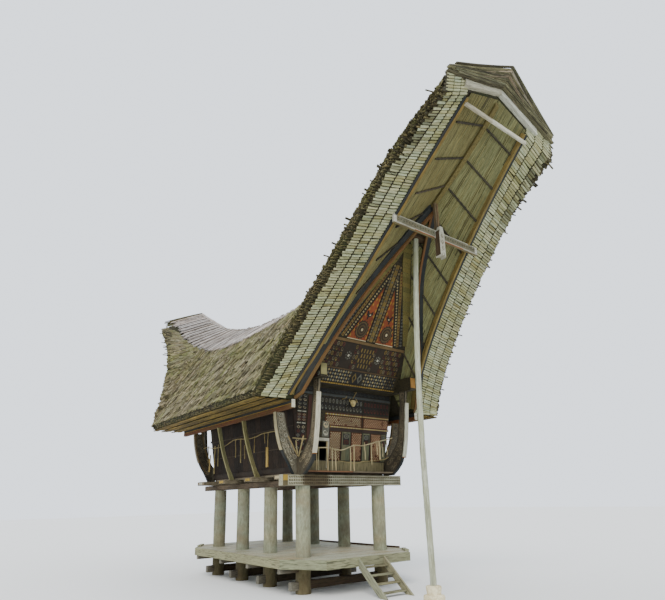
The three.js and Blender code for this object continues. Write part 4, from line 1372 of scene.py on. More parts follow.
def front_beam():
    """The pale carved beam across the front, with a dark stain, thin borders and a painted left end."""
    heap = Heap("front beam")
    low, high = node_box("front_beam")
    height = high.z - low.z
    rings = []
    tints = []
    for index in range(BEAM_PARTS + 1):
        x = low.x + BEAM_INSET + (high.x - low.x - 2 * BEAM_INSET) * index / BEAM_PARTS
        front = low.y + FACE_INSET + heap.random.uniform(0.0, 0.002)
        rings.append(slice_at(x, front, high.y - BEAM_INSET, low.z + BEAM_INSET, high.z - BEAM_INSET))
        tints.append((0.27, 0.22, 0.15) if stained(x) else (0.74, 0.73, 0.62))
    heap.loft(rings, tints)
    face = Face(Vector((0, low.y + FACE_INSET, low.z)), ALONG_X, UP)
    for level, kind in BEAM_ROWS:
        for index in range(BEAM_FIGURES):
            u = low.x + 0.17 + (high.x - low.x - 0.2) * (index + 0.5) / BEAM_FIGURES
            colour, ground = (rgb("6e6048"), rgb("30271b")) if stained(u) else (rgb("827e68"), rgb("979179"))
            tint = heap.tone(0.28, colour)
            motif(face, heap, kind, u, low.z + height * level, 0.03, height * 0.105, 0.0, tint, ground)
    middle_z = (low.z + high.z) / 2
    face.plate(heap, low.x + 0.004, low.x + 0.145, low.z + 0.004, high.z - 0.006, 0.0, 0.004,
               rgb("5b5238"), look=1)
    face.plate(heap, low.x + 0.01, low.x + 0.14, middle_z - 0.01, high.z - 0.01, 0.004, 0.008, YELLOW, look=1)
    for z in (low.z + 0.008, high.z - 0.008):
        for left, right in ((low.x + 0.15, BEAM_STAIN[0] - 0.01), (BEAM_STAIN[1] + 0.01, high.x - 0.01)):
            face.plate(heap, left, right, z - 0.007, z + 0.007, 0.0, 0.005, rgb("7c7763"), look=1)
    heap.piece("carved_front_beam", ["pale", "paint"], replaces=["front_beam"])


LEDGE_LOW = 2.862
LEDGE_HIGH = 2.90
LEDGE_Y = (-0.48, -0.045)
LEDGE_HALF = 1.45
JOIST_SPANS = ((-0.0097, 0.37), (1.54, 1.99), (3.19, 3.59), (4.62, 5.15))
JOIST_HALF = 1.9
JOIST_LOW = 2.703
JOIST_COLOURS = (CREAM, YELLOW, YELLOW, CHALK)
PLATE_HALF = 0.12


def ledge_and_joist_ends():
    """The ledge plank under the front wall and painted plates on the joist ends."""
    heap = Heap("ledge")
    middle = Vector((0, sum(LEDGE_Y) / 2, (LEDGE_LOW + LEDGE_HIGH) / 2))
    reach = ALONG_X * LEDGE_HALF
    heap.bar(middle - reach, middle + reach, LEDGE_Y[1] - LEDGE_Y[0], LEDGE_HIGH - LEDGE_LOW,
             chamfer=0.006, parts=8, wobble=0.002)
    edge = Face(Vector((0, LEDGE_Y[0], LEDGE_LOW)), ALONG_X, UP)
    for left, right, tint in ((-1.44, 0.0, rgb("6b4a30")), (0.005, 1.44, rgb("5c5340"))):
        edge.plate(heap, left, right, LEDGE_LOW + 0.003, LEDGE_HIGH - 0.004, -0.004, 0.01, tint, look=1)
    for sign in (-1, 1):
        face = Face(Vector((sign * (JOIST_HALF + 0.001), 0, JOIST_LOW)), ALONG_Y * sign, UP)
        for colour, span in zip(JOIST_COLOURS, JOIST_SPANS):
            left, right = sorted(sign * place for place in span)
            face.plate(heap, left + 0.02, right - 0.02, JOIST_LOW + 0.012, 2.80, -0.002, 0.012,
                       BEAM_BROWN, look=1)
            u = (left + right) / 2
            face.plate(heap, u - PLATE_HALF, u + PLATE_HALF, JOIST_LOW + 0.02, 2.79, 0.01, 0.008,
                       colour, look=1)
    heap.piece("ledge_and_joist_ends", ["brown", "paint"])


# Walls: carved and painted chips on the leaning boards

FRONT_FACE = Face(Vector((0, -0.035, 2.85)), ALONG_X, Vector((0, -0.128, 1)))
BACK_FACE = Face(Vector((0, BACK_ROW_Y + 0.035, 2.85)), -ALONG_X, Vector((0, 0.128, 1)))
WALL_HALF = 1.475
SIDE_LEAN = 0.082


def board_cover(face, heap, left, right, low, high, width, thickness, look, colour, spacing_tone=0.2):
    """Upright boards side by side on a wall."""
    count = max(round((right - left) / width), 1)
    for u in spread(left, right, count):
        ends = [face.point(u, z, thickness / 2) for z in (low, high)]
        tint = heap.tone(spacing_tone, colour)
        heap.plank(*ends, (right - left) / count - 0.004, thickness, face.normal, tint, look)


FIELD_BROWN = rgb("44250f")
BROWN_PINK = rgb("ad8e6c")
FIELD_PITCH = 0.072
FIELD_FILL = 0.52
PANEL_SPANS = ((-0.52, -0.13), (0.22, 0.61), (0.93, 1.31))
PANEL_LOW = 3.2
PANEL_HIGH = 3.96
FRIEZE_LOW = 4.49
FRIEZE_HIGH = 4.86
COLUMNS = ((-1.60, -1.46), (-1.45, -1.31))
FIELDS = ((-0.70, 0.58, CREAM), (0.62, 1.58, BROWN_PINK))
FRIEZE = ((-1.12, 0.58, GREY), (0.62, 1.58, DARK_RED))
RAILS = ((4.41, -0.70, 1.59), (4.08, -0.53, 1.61))
BOARD_SPANS = ((-0.09, 0.19), (0.64, 0.89), (1.34, 1.5))


def wall_rails_and_fields(face, heap):
    """Dotted rails with fields of lozenges between them, over dark boards."""
    for low, high, left, right in ((3.98, 4.06, -1.27, 1.5), (PANEL_LOW, PANEL_HIGH, 0.66, 0.9)):
        face.plate(heap, left, right, low, high, 0.0, 0.003, rgb("2c201b"))
    for z, left, right in RAILS:
        strip(face, heap, left, right, z - 0.024, z + 0.024, BLACK, (YELLOW, CREAM), "dot", 0.047)
        face.plate(heap, left, right, z + 0.028, z + 0.044, 0.0, 0.006, DARK_RED)
    for left, right, tint in FIELDS:
        face.plate(heap, left, right, 4.12, 4.375, 0.0, 0.003, FIELD_BROWN)
        lozenge_field(face, heap, left + 0.02, right - 0.02, 4.13, 4.36, FIELD_PITCH, tint, fill=FIELD_FILL)


def wall_frieze(face, heap):
    """Dark boards with a scroll and a ring each, under a grey rail and one more row of scrolls."""
    for left, right, tint in FRIEZE:
        for u in spread(left, right, int((right - left) / 0.12)):
            face.plate(heap, u - 0.05, u + 0.05, FRIEZE_LOW, FRIEZE_HIGH, 0.0, 0.004, BLACK)
            for kind, z, half_u, half_z in (("scroll", 4.58, 0.04, 0.07), ("ring", 4.76, 0.038, 0.06)):
                motif(face, heap, kind, u, z, half_u, half_z, 0.004, heap.tone(0.1, tint), BLACK)
    face.plate(heap, -1.62, 1.62, 4.88, 4.94, 0.0, 0.03, rgb("3a3d3a"))
    strip(face, heap, -1.6, 1.6, 4.955, 5.08, BLACK, (GREEN_BLACK, BLUE_BLACK), "scroll", 0.14)


def wall_columns(face, heap):
    """Two narrow columns of figures on the left, and the strips beside the doorway."""
    dim = dimmed(CREAM, 0.5)
    for (left, right), tints in zip(COLUMNS, ((dim, GREY, DARK_RED), (dim, DARK_RED, GREY))):
        strip(face, heap, left, right, 3.0, 4.06, rgb("241c18"), tints, "eye", 0.1)
        strip(face, heap, left, right, 4.16, 4.36, rgb("3a2019"), (dim, GREY), "eye", 0.06)
        strip(face, heap, left, right, 4.46, FRIEZE_HIGH, BLACK, (dim, GREY), "scroll", 0.085)
        for z in (4.11, 4.41):
            face.plate(heap, left, right, z - 0.035, z + 0.035, 0.0, 0.004, BLACK)
            for share in (0.2, 0.5, 0.8):
                face.oval(heap, left + (right - left) * share, z, 0.017, 0.017, 0.004, 0.006, CHALK, sides=8)
    face.plate(heap, -1.27, -1.17, 3.0, 4.84, 0.0, 0.014, rgb("3a2219"))
    strip(face, heap, -1.15, -0.98, 3.0, 4.4, BLACK, (CREAM, GREY), "ring", 0.17)
    strip(face, heap, -0.95, -0.86, 3.78, 4.4, BLACK, (RED, CHALK), "square", 0.075)
    strip(face, heap, -0.77, -0.55, 3.80, 4.21, GREY, (CHALK, CREAM), "scroll", 0.2)


def doorway_trim(face, heap):
    """The pale lintel and the posts of the doorway."""
    face.plate(heap, -0.97, -0.54, 3.69, 3.77, 0.0, 0.03, CHALK)
    face.plate(heap, -0.595, -0.53, 2.99, 3.68, 0.0, 0.03, dimmed(CHALK, 0.8))
    face.plate(heap, -0.97, -0.945, 3.2, 3.68, 0.0, 0.02, GREY)


def wall_panels(face, heap):
    """Panels of lozenges with weathered boards between them, over one wide plank."""
    for left, right in PANEL_SPANS:
        tint = CREAM if left < 0.0 else BROWN_PINK
        face.plate(heap, left, right, PANEL_LOW, PANEL_HIGH, 0.0, 0.006, FIELD_BROWN)
        lozenge_field(face, heap, left + 0.01, right - 0.01, 3.22, 3.94, FIELD_PITCH, tint, 0.006, FIELD_FILL)
        for u in (left - 0.012, right + 0.012):
            face.plate(heap, u - 0.01, u + 0.01, PANEL_LOW, 3.97, 0.0, 0.012, BLACK)
    for left, right in BOARD_SPANS:
        board_cover(face, heap, left, right, PANEL_LOW, PANEL_HIGH, 0.14, 0.008, 2, (0.4, 0.42, 0.36))
        strip(face, heap, left + 0.03, right - 0.03, 3.62, 3.92, BLACK, (DARK_RED, GREY), "ring", 0.1,
              depth=0.01)
    board_cover(face, heap, -1.46, 1.47, 2.93, 3.18, 2.93, 0.018, 2, (0.8, 0.7, 0.56))
    face.plate(heap, -1.46, 1.48, 3.18, PANEL_LOW, 0.0, 0.022, BLACK)
    face.plate(heap, 0.594, 0.606, PANEL_LOW, FRIEZE_HIGH, 0.0, 0.012, BLACK)


def end_wall_carving(name, face, has_door):
    """The strips, fields and panels of one end wall, with the doorway's trim or one more strip."""
    heap = Heap(f"carving {name}")
    wall_rails_and_fields(face, heap)
    wall_frieze(face, heap)
    wall_columns(face, heap)
    if has_door:
        doorway_trim(face, heap)
    else:
        strip(face, heap, -0.95, -0.55, 3.2, 3.74, BLACK, (CREAM, RED), "eye", 0.18)
    wall_panels(face, heap)
    heap.piece(f"{name}_wall_carving", ["paint", "brown", "grey"])


SIDE_BOARD_WIDTH = 0.28


def side_wall_boards(side, sign):
    """Dark upright boards, darkened further with painted shade from the eave, with a bottom rail, two thin
    rails and a carved frieze.
    """
    heap = Heap(f"side wall {side}")
    face = Face(Vector((sign * WALL_HALF, 0, 2.85)), ALONG_Y * sign, Vector((sign * SIDE_LEAN, 0, 1)))
    left, right = sorted((sign * -0.05, sign * (BACK_ROW_Y + 0.05)))
    # The boards are dark wood, and their tint darkens them further as painted shade from the eave.
    board_cover(face, heap, left, right, 3.03, 4.62, SIDE_BOARD_WIDTH, 0.014, 0, (0.42, 0.4, 0.36), 0.35)
    face.plate(heap, left - 0.02, right + 0.02, 2.90, 3.02, 0.0, 0.03, rgb("2c241b"), look=1)
    for z in (3.52, 4.06):
        face.plate(heap, left, right, z - 0.014, z + 0.014, 0.012, 0.014, rgb("3a3022"), look=1)
    ground = rgb("211a16")
    face.plate(heap, left, right, 4.63, 4.66, 0.0, 0.024, rgb("5f4c30"), look=1)
    for index, u in enumerate(spread(left, right, int((right - left) / 0.2))):
        tint = dimmed(heap.tone(0.1, (RED, GREY, CREAM)[index % 3]), 0.4)
        face.plate(heap, u - 0.096, u + 0.096, 4.68, 5.06, 0.0, 0.006, ground, look=1)
        face.oval(heap, u, 4.87, 0.07, 0.13, 0.006, 0.006, tint, look=1)
        face.oval(heap, u, 4.87, 0.042, 0.085, 0.012, 0.004, ground, look=1)
    heap.piece(f"{side}_wall_boards", ["brown", "paint"])


# Gables: a triangle of painted panels under the roof

GABLE_LEAN = 0.6766
GABLE_FOOT = (-0.633, 5.15)
GABLE_EDGE = ((5.5, 1.5), (6.19, 1.24), (7.32, 0.57), (8.08, 0.12), (8.3, 0.02))
GABLE_CREAM = rgb("8a7c55")
GABLE_OCHRE = rgb("66552a")
SQUARES_Z = (5.19, 5.5)
SQUARE_PITCH = 0.08
GABLE_BORDER = 0.26
GABLE_BORDER_BOARD = 0.1
GABLE_BORDER_BOARDS = 22
SUN_DARK = rgb("2e2417")
SUN_RINGS = ((0.2, SUN_DARK), (0.175, rgb("54462a")), (0.15, SUN_DARK), (0.11, rgb("4a3c24")),
             (0.075, SUN_DARK), (0.035, CREAM))
ROOSTER = ((-0.10, 0.02), (-0.085, 0.09), (-0.05, 0.045), (0.0, 0.03), (0.035, 0.07), (0.05, 0.105),
           (0.065, 0.08), (0.09, 0.07), (0.068, 0.055), (0.06, 0.0), (0.025, -0.035), (0.03, -0.085),
           (0.0, -0.085), (0.0, -0.04), (-0.045, -0.03))
FLOWERS_U = (-0.56, 0.46)
TRIANGLE_SPAN = (0.17, 0.80)
TRIANGLE_LOW = 6.23
FLOWER_Z = 5.84
STRIP_TOP = 8.0
STRIP_BROWN = rgb("4c4634")
DOT_BROWN = rgb("665a3c")
MIDDLE_STRIPS = ((-0.15, -0.065, BLACK, DOT_BROWN, "dot"),
                 (-0.055, 0.055, GABLE_OCHRE, GABLE_OCHRE, "lozenge"),
                 (0.065, 0.15, BLACK, DOT_BROWN, "dot"))
SLANTS = ((0.0, 0.1, BLACK, GABLE_CREAM, "dot"), (0.11, 0.2, GABLE_OCHRE, DARK_RED, "lozenge"),
          (0.21, 0.36, BLACK, GREY, "ring"))
SLANT_FIGURES = 24


def gable_half(z):
    for (low_z, low_half), (high_z, high_half) in zip(GABLE_EDGE, GABLE_EDGE[1:]):
        if z <= high_z:
            return changing(z, low_z, high_z, low_half, high_half)
    return 0.0


def sun_disc(face, heap, u, z):
    """A round disc of rings with short rays."""
    near, far = 0.195, 0.235
    spread_angle = 0.1
    for angle in around(16):
        outline = [(u + reach * math.cos(angle + turn), z + reach * math.sin(angle + turn))
                   for reach, turn in ((near, -spread_angle), (far, 0.0), (near, spread_angle))]
        face.chip(heap, outline, 0.008, 0.004, SUN_DARK)
    for level, (radius, tint) in enumerate(SUN_RINGS):
        face.oval(heap, u, z, radius, radius, 0.006 + 0.003 * level, 0.004, tint, sides=28)


def gable_squares(face, heap):
    """The foot of the gable: two chequered fields of small lozenges beside a carved middle."""
    low, high = SQUARES_Z
    for left, right in ((-1.38, -0.24), (0.2, 1.38)):
        face.plate(heap, left, right, low, high, 0.0, 0.003, BLACK)
        for row in range(4):
            for index, u in enumerate(spread(left, right, int((right - left) / SQUARE_PITCH))):
                colour = GABLE_CREAM if (row + index) % 2 else GREY
                tint = heap.tone(0.14, dimmed(colour, 1.0 if abs(u) < 1.05 else 0.45))
                lozenge(face, heap, u, 5.23 + 0.077 * row, 0.033, 0.031, 0.003, 0.006, tint)
    strip(face, heap, -0.21, 0.17, low, high, BLACK, (GABLE_OCHRE, GREY), "eye", 0.19)
    face.plate(heap, -1.4, 1.4, 5.505, 5.53, 0.0, 0.014, rgb("4a3a24"))


def gable_field(face, heap):
    """The dark band of the gable: two flowers, a chequered middle, and rings and scrolls all round."""
    face.plate(heap, -1.36, 1.36, 5.54, 6.12, 0.0, 0.004, rgb("261f15"))
    for u in FLOWERS_U:
        for angle in around(8):
            face.oval(heap, u + 0.08 * math.cos(angle), FLOWER_Z + 0.08 * math.sin(angle), 0.02, 0.02,
                      0.004, 0.006, GREY, sides=8)
        face.oval(heap, u, FLOWER_Z, 0.03, 0.03, 0.004, 0.012, CHALK, sides=14)
    for row in range(4):
        z = 0.12 * row
        for index in range(9):
            if (row + index) % 2:
                face.plate(heap, -0.2 + 0.05 * index, -0.165 + 0.05 * index, 5.6 + z, 5.69 + z, 0.004, 0.007,
                           heap.tone(0.1, GABLE_OCHRE))
    for sign in (-1, 1):
        for row in range(5):
            z = 5.595 + 0.117 * row
            for index in range(12):
                u = sign * (0.28 + 0.09 * index)
                if min(abs(u - flower) for flower in FLOWERS_U) < 0.17 or abs(u) > gable_half(z) - 0.1:
                    continue
                tint = heap.tone(0.2, (rgb("5f5640"), DARK_RED, GABLE_OCHRE)[(row + index) % 3])
                motif(face, heap, "scroll" if row % 2 else "ring", u, z, 0.04, 0.05, 0.004, tint, BLACK)
    face.plate(heap, -1.28, 1.28, 6.14, 6.2, 0.0, 0.022, rgb("5d4a2c"))


def gable_triangle(face, heap, sign):
    """A red triangle with a sun disc, a rooster and lozenges along its two upright sides."""
    inner, outer = TRIANGLE_SPAN
    outline = [(inner, TRIANGLE_LOW), (outer, TRIANGLE_LOW), (0.18, 7.46)]
    face.chip(heap, [(sign * u, z) for u, z in outline][::sign], 0.0, 0.006, rgb("74391c"))
    left, right = sorted((inner * sign, outer * sign))
    face.plate(heap, left, right, 6.215, 6.235, 0.006, 0.006, CREAM)
    for row in range(9):
        z = 6.3 + 0.125 * row
        reach = inner + (outer - inner) * (1 - (z - TRIANGLE_LOW) / 1.23) - 0.03
        for u in (0.2, reach) if reach > 0.23 else (0.2,):
            lozenge(face, heap, sign * u, z, 0.024, 0.05, 0.006, 0.005, heap.tone(0.1, OCHRE))
    sun_disc(face, heap, 0.43 * sign, 6.46)
    outline = [(0.36 * sign + 1.1 * u * sign, 6.80 + 1.1 * z) for u, z in ROOSTER]
    face.chip(heap, outline, 0.006, 0.008, BLACK)
    face.oval(heap, 0.33 * sign, 6.81, 0.03, 0.018, 0.014, 0.003, CREAM, sides=8)


def gable_slant(face, heap, sign, inner, outer, ground, tint, kind):
    """One carved strip along the slanting edge of the gable."""
    start = Vector((0.84 + inner * 0.9, TRIANGLE_LOW))
    end = Vector((0.08 + inner * 0.7, 7.74 + inner * 1.2))
    span = end - start
    normal = Vector((span.y, -span.x)).normalized()
    width = (outer - inner) * 0.85
    corners = [start, start + normal * width, end + normal * width, end]
    if 0.84 + outer > gable_half(TRIANGLE_LOW) + 0.05:
        corners[1] = Vector((gable_half(TRIANGLE_LOW) + 0.03, TRIANGLE_LOW))
    face.chip(heap, [(sign * p.x, p.y) for p in corners][::sign], 0.0, 0.005, ground)
    for index in range(SLANT_FIGURES):
        spot = start.lerp(end, (index + 0.5) / SLANT_FIGURES) + normal * (width / 2)
        figure_tint = heap.tone(0.1, tint)
        motif(face, heap, kind, sign * spot.x, spot.y, width * 0.3, 0.022, 0.005, figure_tint, ground)


def gable_border(face, heap):
    """Short boards of matting between the carving and the roof."""
    for index in range(GABLE_BORDER_BOARDS):
        low, high = (6.3 + GABLE_BORDER_BOARD * (index + rise) for rise in (0.0, 0.96))
        corners = [(gable_half(low) + GABLE_BORDER, low), (gable_half(high) + GABLE_BORDER, high),
                   (gable_half(high) - 0.02, high), (gable_half(low) - 0.02, low)]
        for sign in (-1, 1):
            outline = [(sign * max(u, 0.004), z) for u, z in corners][::sign]
            face.chip(heap, outline, 0.0, 0.018, heap.tone(0.12, (0.72, 0.66, 0.42)), look=1)


def gable_carving(name, face):
    """All the carving of one gable, from its foot to its tip."""
    heap = Heap(f"gable {name}")
    gable_squares(face, heap)
    gable_field(face, heap)
    for sign in (-1, 1):
        gable_triangle(face, heap, sign)
    for left, right, ground, tint, kind in MIDDLE_STRIPS:
        strip(face, heap, left, right, TRIANGLE_LOW, STRIP_TOP, ground, (tint, STRIP_BROWN), kind, 0.07,
              depth=0.012)
    for slant in SLANTS:
        for sign in (-1, 1):
            gable_slant(face, heap, sign, *slant)
    gable_border(face, heap)
    heap.piece(f"{name}_gable_carving", ["paint", "matting"])


def gable_boards(name, sign):
    """The yellow-edged board along the foot of a gable."""
    heap = Heap(f"gable boards {name}")
    y = -0.66 if sign < 0 else BACK_ROW_Y + 0.66
    face = Face(Vector((0, y, 5.10)), ALONG_X * -sign, UP)
    face.plate(heap, -1.44, 1.44, 5.103, 5.132, -0.004, 0.012, BLACK)
    face.plate(heap, -1.44, 1.44, 5.134, 5.168, -0.004, 0.016, dimmed(YELLOW, 0.8))
    for index in range(36):
        lozenge(face, heap, -1.4 + 0.08 * index, 5.151, 0.03, 0.012, 0.012, 0.004, DARK_RED)
    heap.piece(f"{name}_gable_foot", ["paint"])


def make_lower_parts():
    for side, sign in SIDES:
        posts(side, sign)
        side_wall_boards(side, sign)
    ties_and_bearers()
    platform_planks()
    platform_edges()
    ladder()
    pole()
    footing()
    sills()
    front_beam()
    ledge_and_joist_ends()
    end_wall_carving("front", FRONT_FACE, True)
    end_wall_carving("back", BACK_FACE, False)
    foot_y, foot_z = GABLE_FOOT
    front_foot = Vector((0, foot_y, foot_z))
    back_foot = Vector((0, BACK_ROW_Y - foot_y, foot_z))
    gable_carving("front", Face(front_foot, ALONG_X, Vector((0, -GABLE_LEAN, 1))))
    gable_carving("back", Face(back_foot, -ALONG_X, Vector((0, GABLE_LEAN, 1))))
    gable_boards("front", -1)
    gable_boards("back", 1)


make_lower_parts()


# Curved boards at the corners, braces and eave beams

BOARD_FOOT = 2.8103
FORWARD_X = 1.502
FORWARD_OUTER = ((-0.41, BOARD_FOOT), (-0.65, 2.99), (-0.85, 3.26), (-0.985, 3.90), (-1.06, 4.70),
                 (-1.10, 5.10))
FORWARD_INNER = ((-0.17, 3.26), (-0.38, 3.38), (-0.65, 3.70), (-0.75, 4.03), (-0.85, 4.70), (-0.85, 5.10))
FORWARD_WALL = ((-0.03, BOARD_FOOT), (-0.08, 3.20))
SIDEWAYS_OUTER = ((1.62, BOARD_FOOT), (1.78, 3.10), (1.92, 3.32), (2.03, 3.60), (2.12, 4.00),
                  (2.15, 4.3497))
SIDEWAYS_INNER = ((1.515, 3.33), (1.64, 3.55), (1.75, 3.79), (1.84, 4.09), (1.89, 4.3497))
SIDEWAYS_WALL = ((1.473, BOARD_FOOT),)
SIDEWAYS_Y = {"front": -0.07, "back": 4.98}
CRESCENT_HALF = 0.029
CRESCENT_PROUD = CRESCENT_HALF + 0.007
CRESCENT_EDGES = ((0.02, 0.1), (0.92, 0.99))
FLANGE_X = (1.46, 1.585)
FLANGE_Z = (3.2, 4.85)
FORWARD_FOOT_TOP = 3.4
SIDEWAYS_FOOT_TOP = 3.42
SIDEWAYS_RAIL_LOW = 3.36
CURVE_STEPS = 17
# Painted shadow: tint of the black strips along the boards' curving lower edges.
PAINTED_SHADOW_FOOT = (0.9, 0.9, 0.9)
DARK_BOARD = (0.42, 0.38, 0.32)
NEAR_CORNER = ((0.6, 0.54, 0.44), (1.0, 0.98, 0.92), (0.4, 0.38, 0.32))
OTHER_CORNERS = (DARK_BOARD, DARK_BOARD, (0.8, 0.56, 0.26))


def crescent(heap, place, faces, turn, outer, inner, tint, edge_tint):
    """A curved board with raised edges and a row of carved figures on both faces.

    Place turns (u, z, offset) into a point, and turn gives a place along the two faces.
    """
    draw = heap.random.uniform
    rings = []
    for (a, b), (c, d) in zip(outer, inner):
        half = CRESCENT_HALF + draw(-0.002, 0.0)
        rings.append([place(a, b, -half), place(c, d, -half), place(c, d, half), place(a, b, half)])
    heap.loft(rings, [dimmed(tint, changing(b, BOARD_FOOT, 3.9, 0.55, 1.0)) for _, b in outer])
    for low, high in CRESCENT_EDGES:
        rings = []
        for (a, b), (c, d) in zip(outer[2:], inner[2:]):
            near = (a + (c - a) * low, b + (d - b) * low)
            far = (a + (c - a) * high, b + (d - b) * high)
            rings.append([place(*near, -CRESCENT_PROUD), place(*far, -CRESCENT_PROUD),
                          place(*far, CRESCENT_PROUD), place(*near, CRESCENT_PROUD)])
        heap.loft(rings, heap.tone(0.1, edge_tint))
    relief = dimmed(tint, 1.5)
    ground = dimmed(tint, 0.5)
    for index in range(2, len(outer) - 1):
        (a, b), (c, d) = outer[index], inner[index]
        width = math.dist((a, b), (c, d))
        for share in (0.3, 0.7) if width > 0.3 else (0.5,):
            u = turn(a + (c - a) * share)
            z = b + (d - b) * share
            for face, way in faces:
                kind = "scroll" if index % 2 else "ring"
                size = min(0.34 * width, 0.07) if share == 0.5 else 0.06
                motif(face, heap, kind, way * u, z, size, 0.05, 0.0, heap.tone(0.2, relief), ground)


def forward_board(heap, front, sign, tint):
    """The curved board that runs on past the end wall, with a flange, an orange ledge and a black foot of
    painted shadow under its curving lower edge.
    """

    def to_end(y):
        return y if front else 2 * MIDDLE_Y - y

    def place(u, z, offset):
        return Vector((sign * FORWARD_X + offset, to_end(u), z))

    x = sign * FORWARD_X
    faces = ((Face(Vector((x + CRESCENT_HALF, 0, 0)), ALONG_Y, UP), 1),
             (Face(Vector((x - CRESCENT_HALF, 0, 0)), -ALONG_Y, UP), -1))
    outer = smooth_curve(FORWARD_OUTER, CURVE_STEPS)
    inner = [*FORWARD_WALL, *smooth_curve(FORWARD_INNER, CURVE_STEPS - 2)]
    crescent(heap, place, faces, to_end, outer, inner, tint, (0.2, 0.19, 0.17))
    flange = [(y, z) for y, z in outer if FLANGE_Z[0] < z < FLANGE_Z[1]]
    inside, outside = (sign * x for x in FLANGE_X)
    rings = []
    for y, z in flange:
        near, far = to_end(y - 0.034), to_end(y - 0.004)
        rings.append(ring_at(z, (inside, near), (outside, near), (outside, far), (inside, far)))
    heap.loft(rings, heap.tone(0.05, (0.95, 0.95, 0.88) if front else (0.55, 0.5, 0.42)), look=1)
    y, z = flange[0]
    ends = [(x, to_end(y - 0.018), z - 0.012) for x in (inside, outside)]
    heap.bar(*ends, 0.036, 0.022, (1.0, 0.8, 0.5), look=2, chamfer=0.003, parts=2, wobble=0.001)
    # Painted shadow: a black strip along the lower edge where it curves in.
    inside, outside = sign * (FORWARD_X - 0.04), sign * (FORWARD_X + 0.04)
    rings = []
    for y, z in outer:
        if z < FORWARD_FOOT_TOP:
            near, far = to_end(y - 0.015), to_end(y + 0.02)
            rings.append(ring_at(z, (inside, near), (outside, near), (outside, far), (inside, far)))
    heap.loft(rings, PAINTED_SHADOW_FOOT, look=3)


def sideways_board(heap, end_name, sign, tint, edge_tint):
    """The curved board that runs on past the side wall, with a rail along it and a black foot of painted
    shadow under its curving lower edge.
    """
    front = end_name == "front"
    base = SIDEWAYS_Y[end_name]

    def place(u, z, offset):
        return Vector((sign * u, base + offset, z))

    def to_side(x):
        return sign * x

    faces = ((Face(Vector((0, base - CRESCENT_HALF, 0)), ALONG_X, UP), 1),
             (Face(Vector((0, base + CRESCENT_HALF, 0)), -ALONG_X, UP), -1))
    outer = smooth_curve(SIDEWAYS_OUTER, CURVE_STEPS)
    inner = [*SIDEWAYS_WALL, *smooth_curve(SIDEWAYS_INNER, CURVE_STEPS - 1)]
    crescent(heap, place, faces, to_side, outer, inner, tint, edge_tint)
    wide = 0.05 if front else 0.045
    rings = [level_slice(z, sign * (x + 0.004), sign * (x + 0.03), base - wide, base + wide)
             for x, z in outer if z > SIDEWAYS_RAIL_LOW]
    heap.loft(rings, heap.tone(0.08, (0.86, 0.78, 0.56) if front else (0.4, 0.36, 0.3)), look=1)
    # Painted shadow: a black strip along the lower edge where it curves in.
    rings = [level_slice(z, sign * (x - 0.02), sign * (x + 0.014), base - 0.04, base + 0.04)
             for x, z in outer if z < SIDEWAYS_FOOT_TOP]
    heap.loft(rings, PAINTED_SHADOW_FOOT, look=3)


def corner_boards(end_name, side, sign):
    """Both curved boards of one corner of the store room. Those of the front left corner are paler."""
    heap = Heap(f"corner {end_name} {side}")
    front = end_name == "front"
    forward_tint, sideways_tint, edge_tint = NEAR_CORNER if front and sign < 0 else OTHER_CORNERS
    forward_board(heap, front, sign, forward_tint)
    sideways_board(heap, end_name, sign, sideways_tint, edge_tint)
    name = f"corner_boards_{end_name}_{side}"
    heap.piece(f"carved_{name}", ["crescent", "pale", "orange", "black"], replaces=[name])


BRACE_ROWS = (1.74, 3.30)
BRACE_OUTER = ((1.68, BOARD_FOOT), (1.93, 3.50), (2.06, 4.00), (2.14, 4.39))
BRACE_DEPTH = 0.10
EAVE_BEAM_X = 2.11
EAVE_BEAM_LOW = 4.352
EAVE_BEAM_BREAK = 4.46
EAVE_BEAM_TOP = 4.568


def brace(heap, sign, y):
    """A curved brace from a joist up to the eave beam, with a paler outer edge."""
    rings = []
    for u, z in smooth_curve(BRACE_OUTER, 12):
        half = 0.033 + heap.random.uniform(-0.002, 0.001)
        depth = BRACE_DEPTH + 0.05 * changing(z, 2.81, 3.1, 1.0, 0.0)
        rings.append(level_slice(z, sign * u, sign * (u - depth), y - half, y + half))
    heap.loft(rings, heap.tone(0.06, (0.86, 0.82, 0.6)), look=4)
    rings = [[a.lerp(d, -0.05), b.lerp(c, -0.05), b.lerp(c, 0.1), a.lerp(d, 0.1)] for a, b, c, d in rings]
    heap.loft(rings, heap.tone(0.06, (1.1, 1.02, 0.72)), look=4)


def eave_beam(side, sign):
    """A black and red-brown beam under the eave, with two curved braces that stand on the joists."""
    heap = Heap(f"eave beam {side}")
    low, high = node_box(f"eave_beam_{side}")
    x = sign * EAVE_BEAM_X
    for look, bottom, top, width, colour in (
            (0, EAVE_BEAM_BREAK, EAVE_BEAM_TOP, 0.094, WHITE),
            (1, EAVE_BEAM_LOW, EAVE_BEAM_BREAK - 0.004, 0.1, (0.72, 0.6, 0.52))):
        ends = [(x, y, (bottom + top) / 2) for y in (low.y + 0.002, high.y - 0.002)]
        heap.bar(*ends, width, top - bottom, heap.tone(0.06, colour), look=look, chamfer=0.006, parts=16,
                 wobble=0.002)
    ends = [(x + sign * 0.048, y, EAVE_BEAM_BREAK - 0.004) for y in (low.y + 0.03, high.y - 0.03)]
    heap.bar(*ends, 0.008, 0.012, (1.0, 1.0, 0.8), look=2, chamfer=0.001, parts=4, wobble=0.0005)
    for y in (low.y - 0.004, high.y + 0.004):
        ends = [(x + reach, y, EAVE_BEAM_BREAK) for reach in (-0.048, 0.048)]
        heap.bar(*ends, 0.012, 0.2, (1.1, 1.08, 1.0), look=3, chamfer=0.003, parts=2, wobble=0.001)
    for y in BRACE_ROWS:
        brace(heap, sign, y)
    heap.piece(f"painted_eave_beam_{side}", ["black", "orange", "ochre", "pale", "grey"],
               replaces=[f"eave_beam_{side}"])


PLATE_X = (1.45, 1.64)
PLATE_Z = (5.103, 5.44)


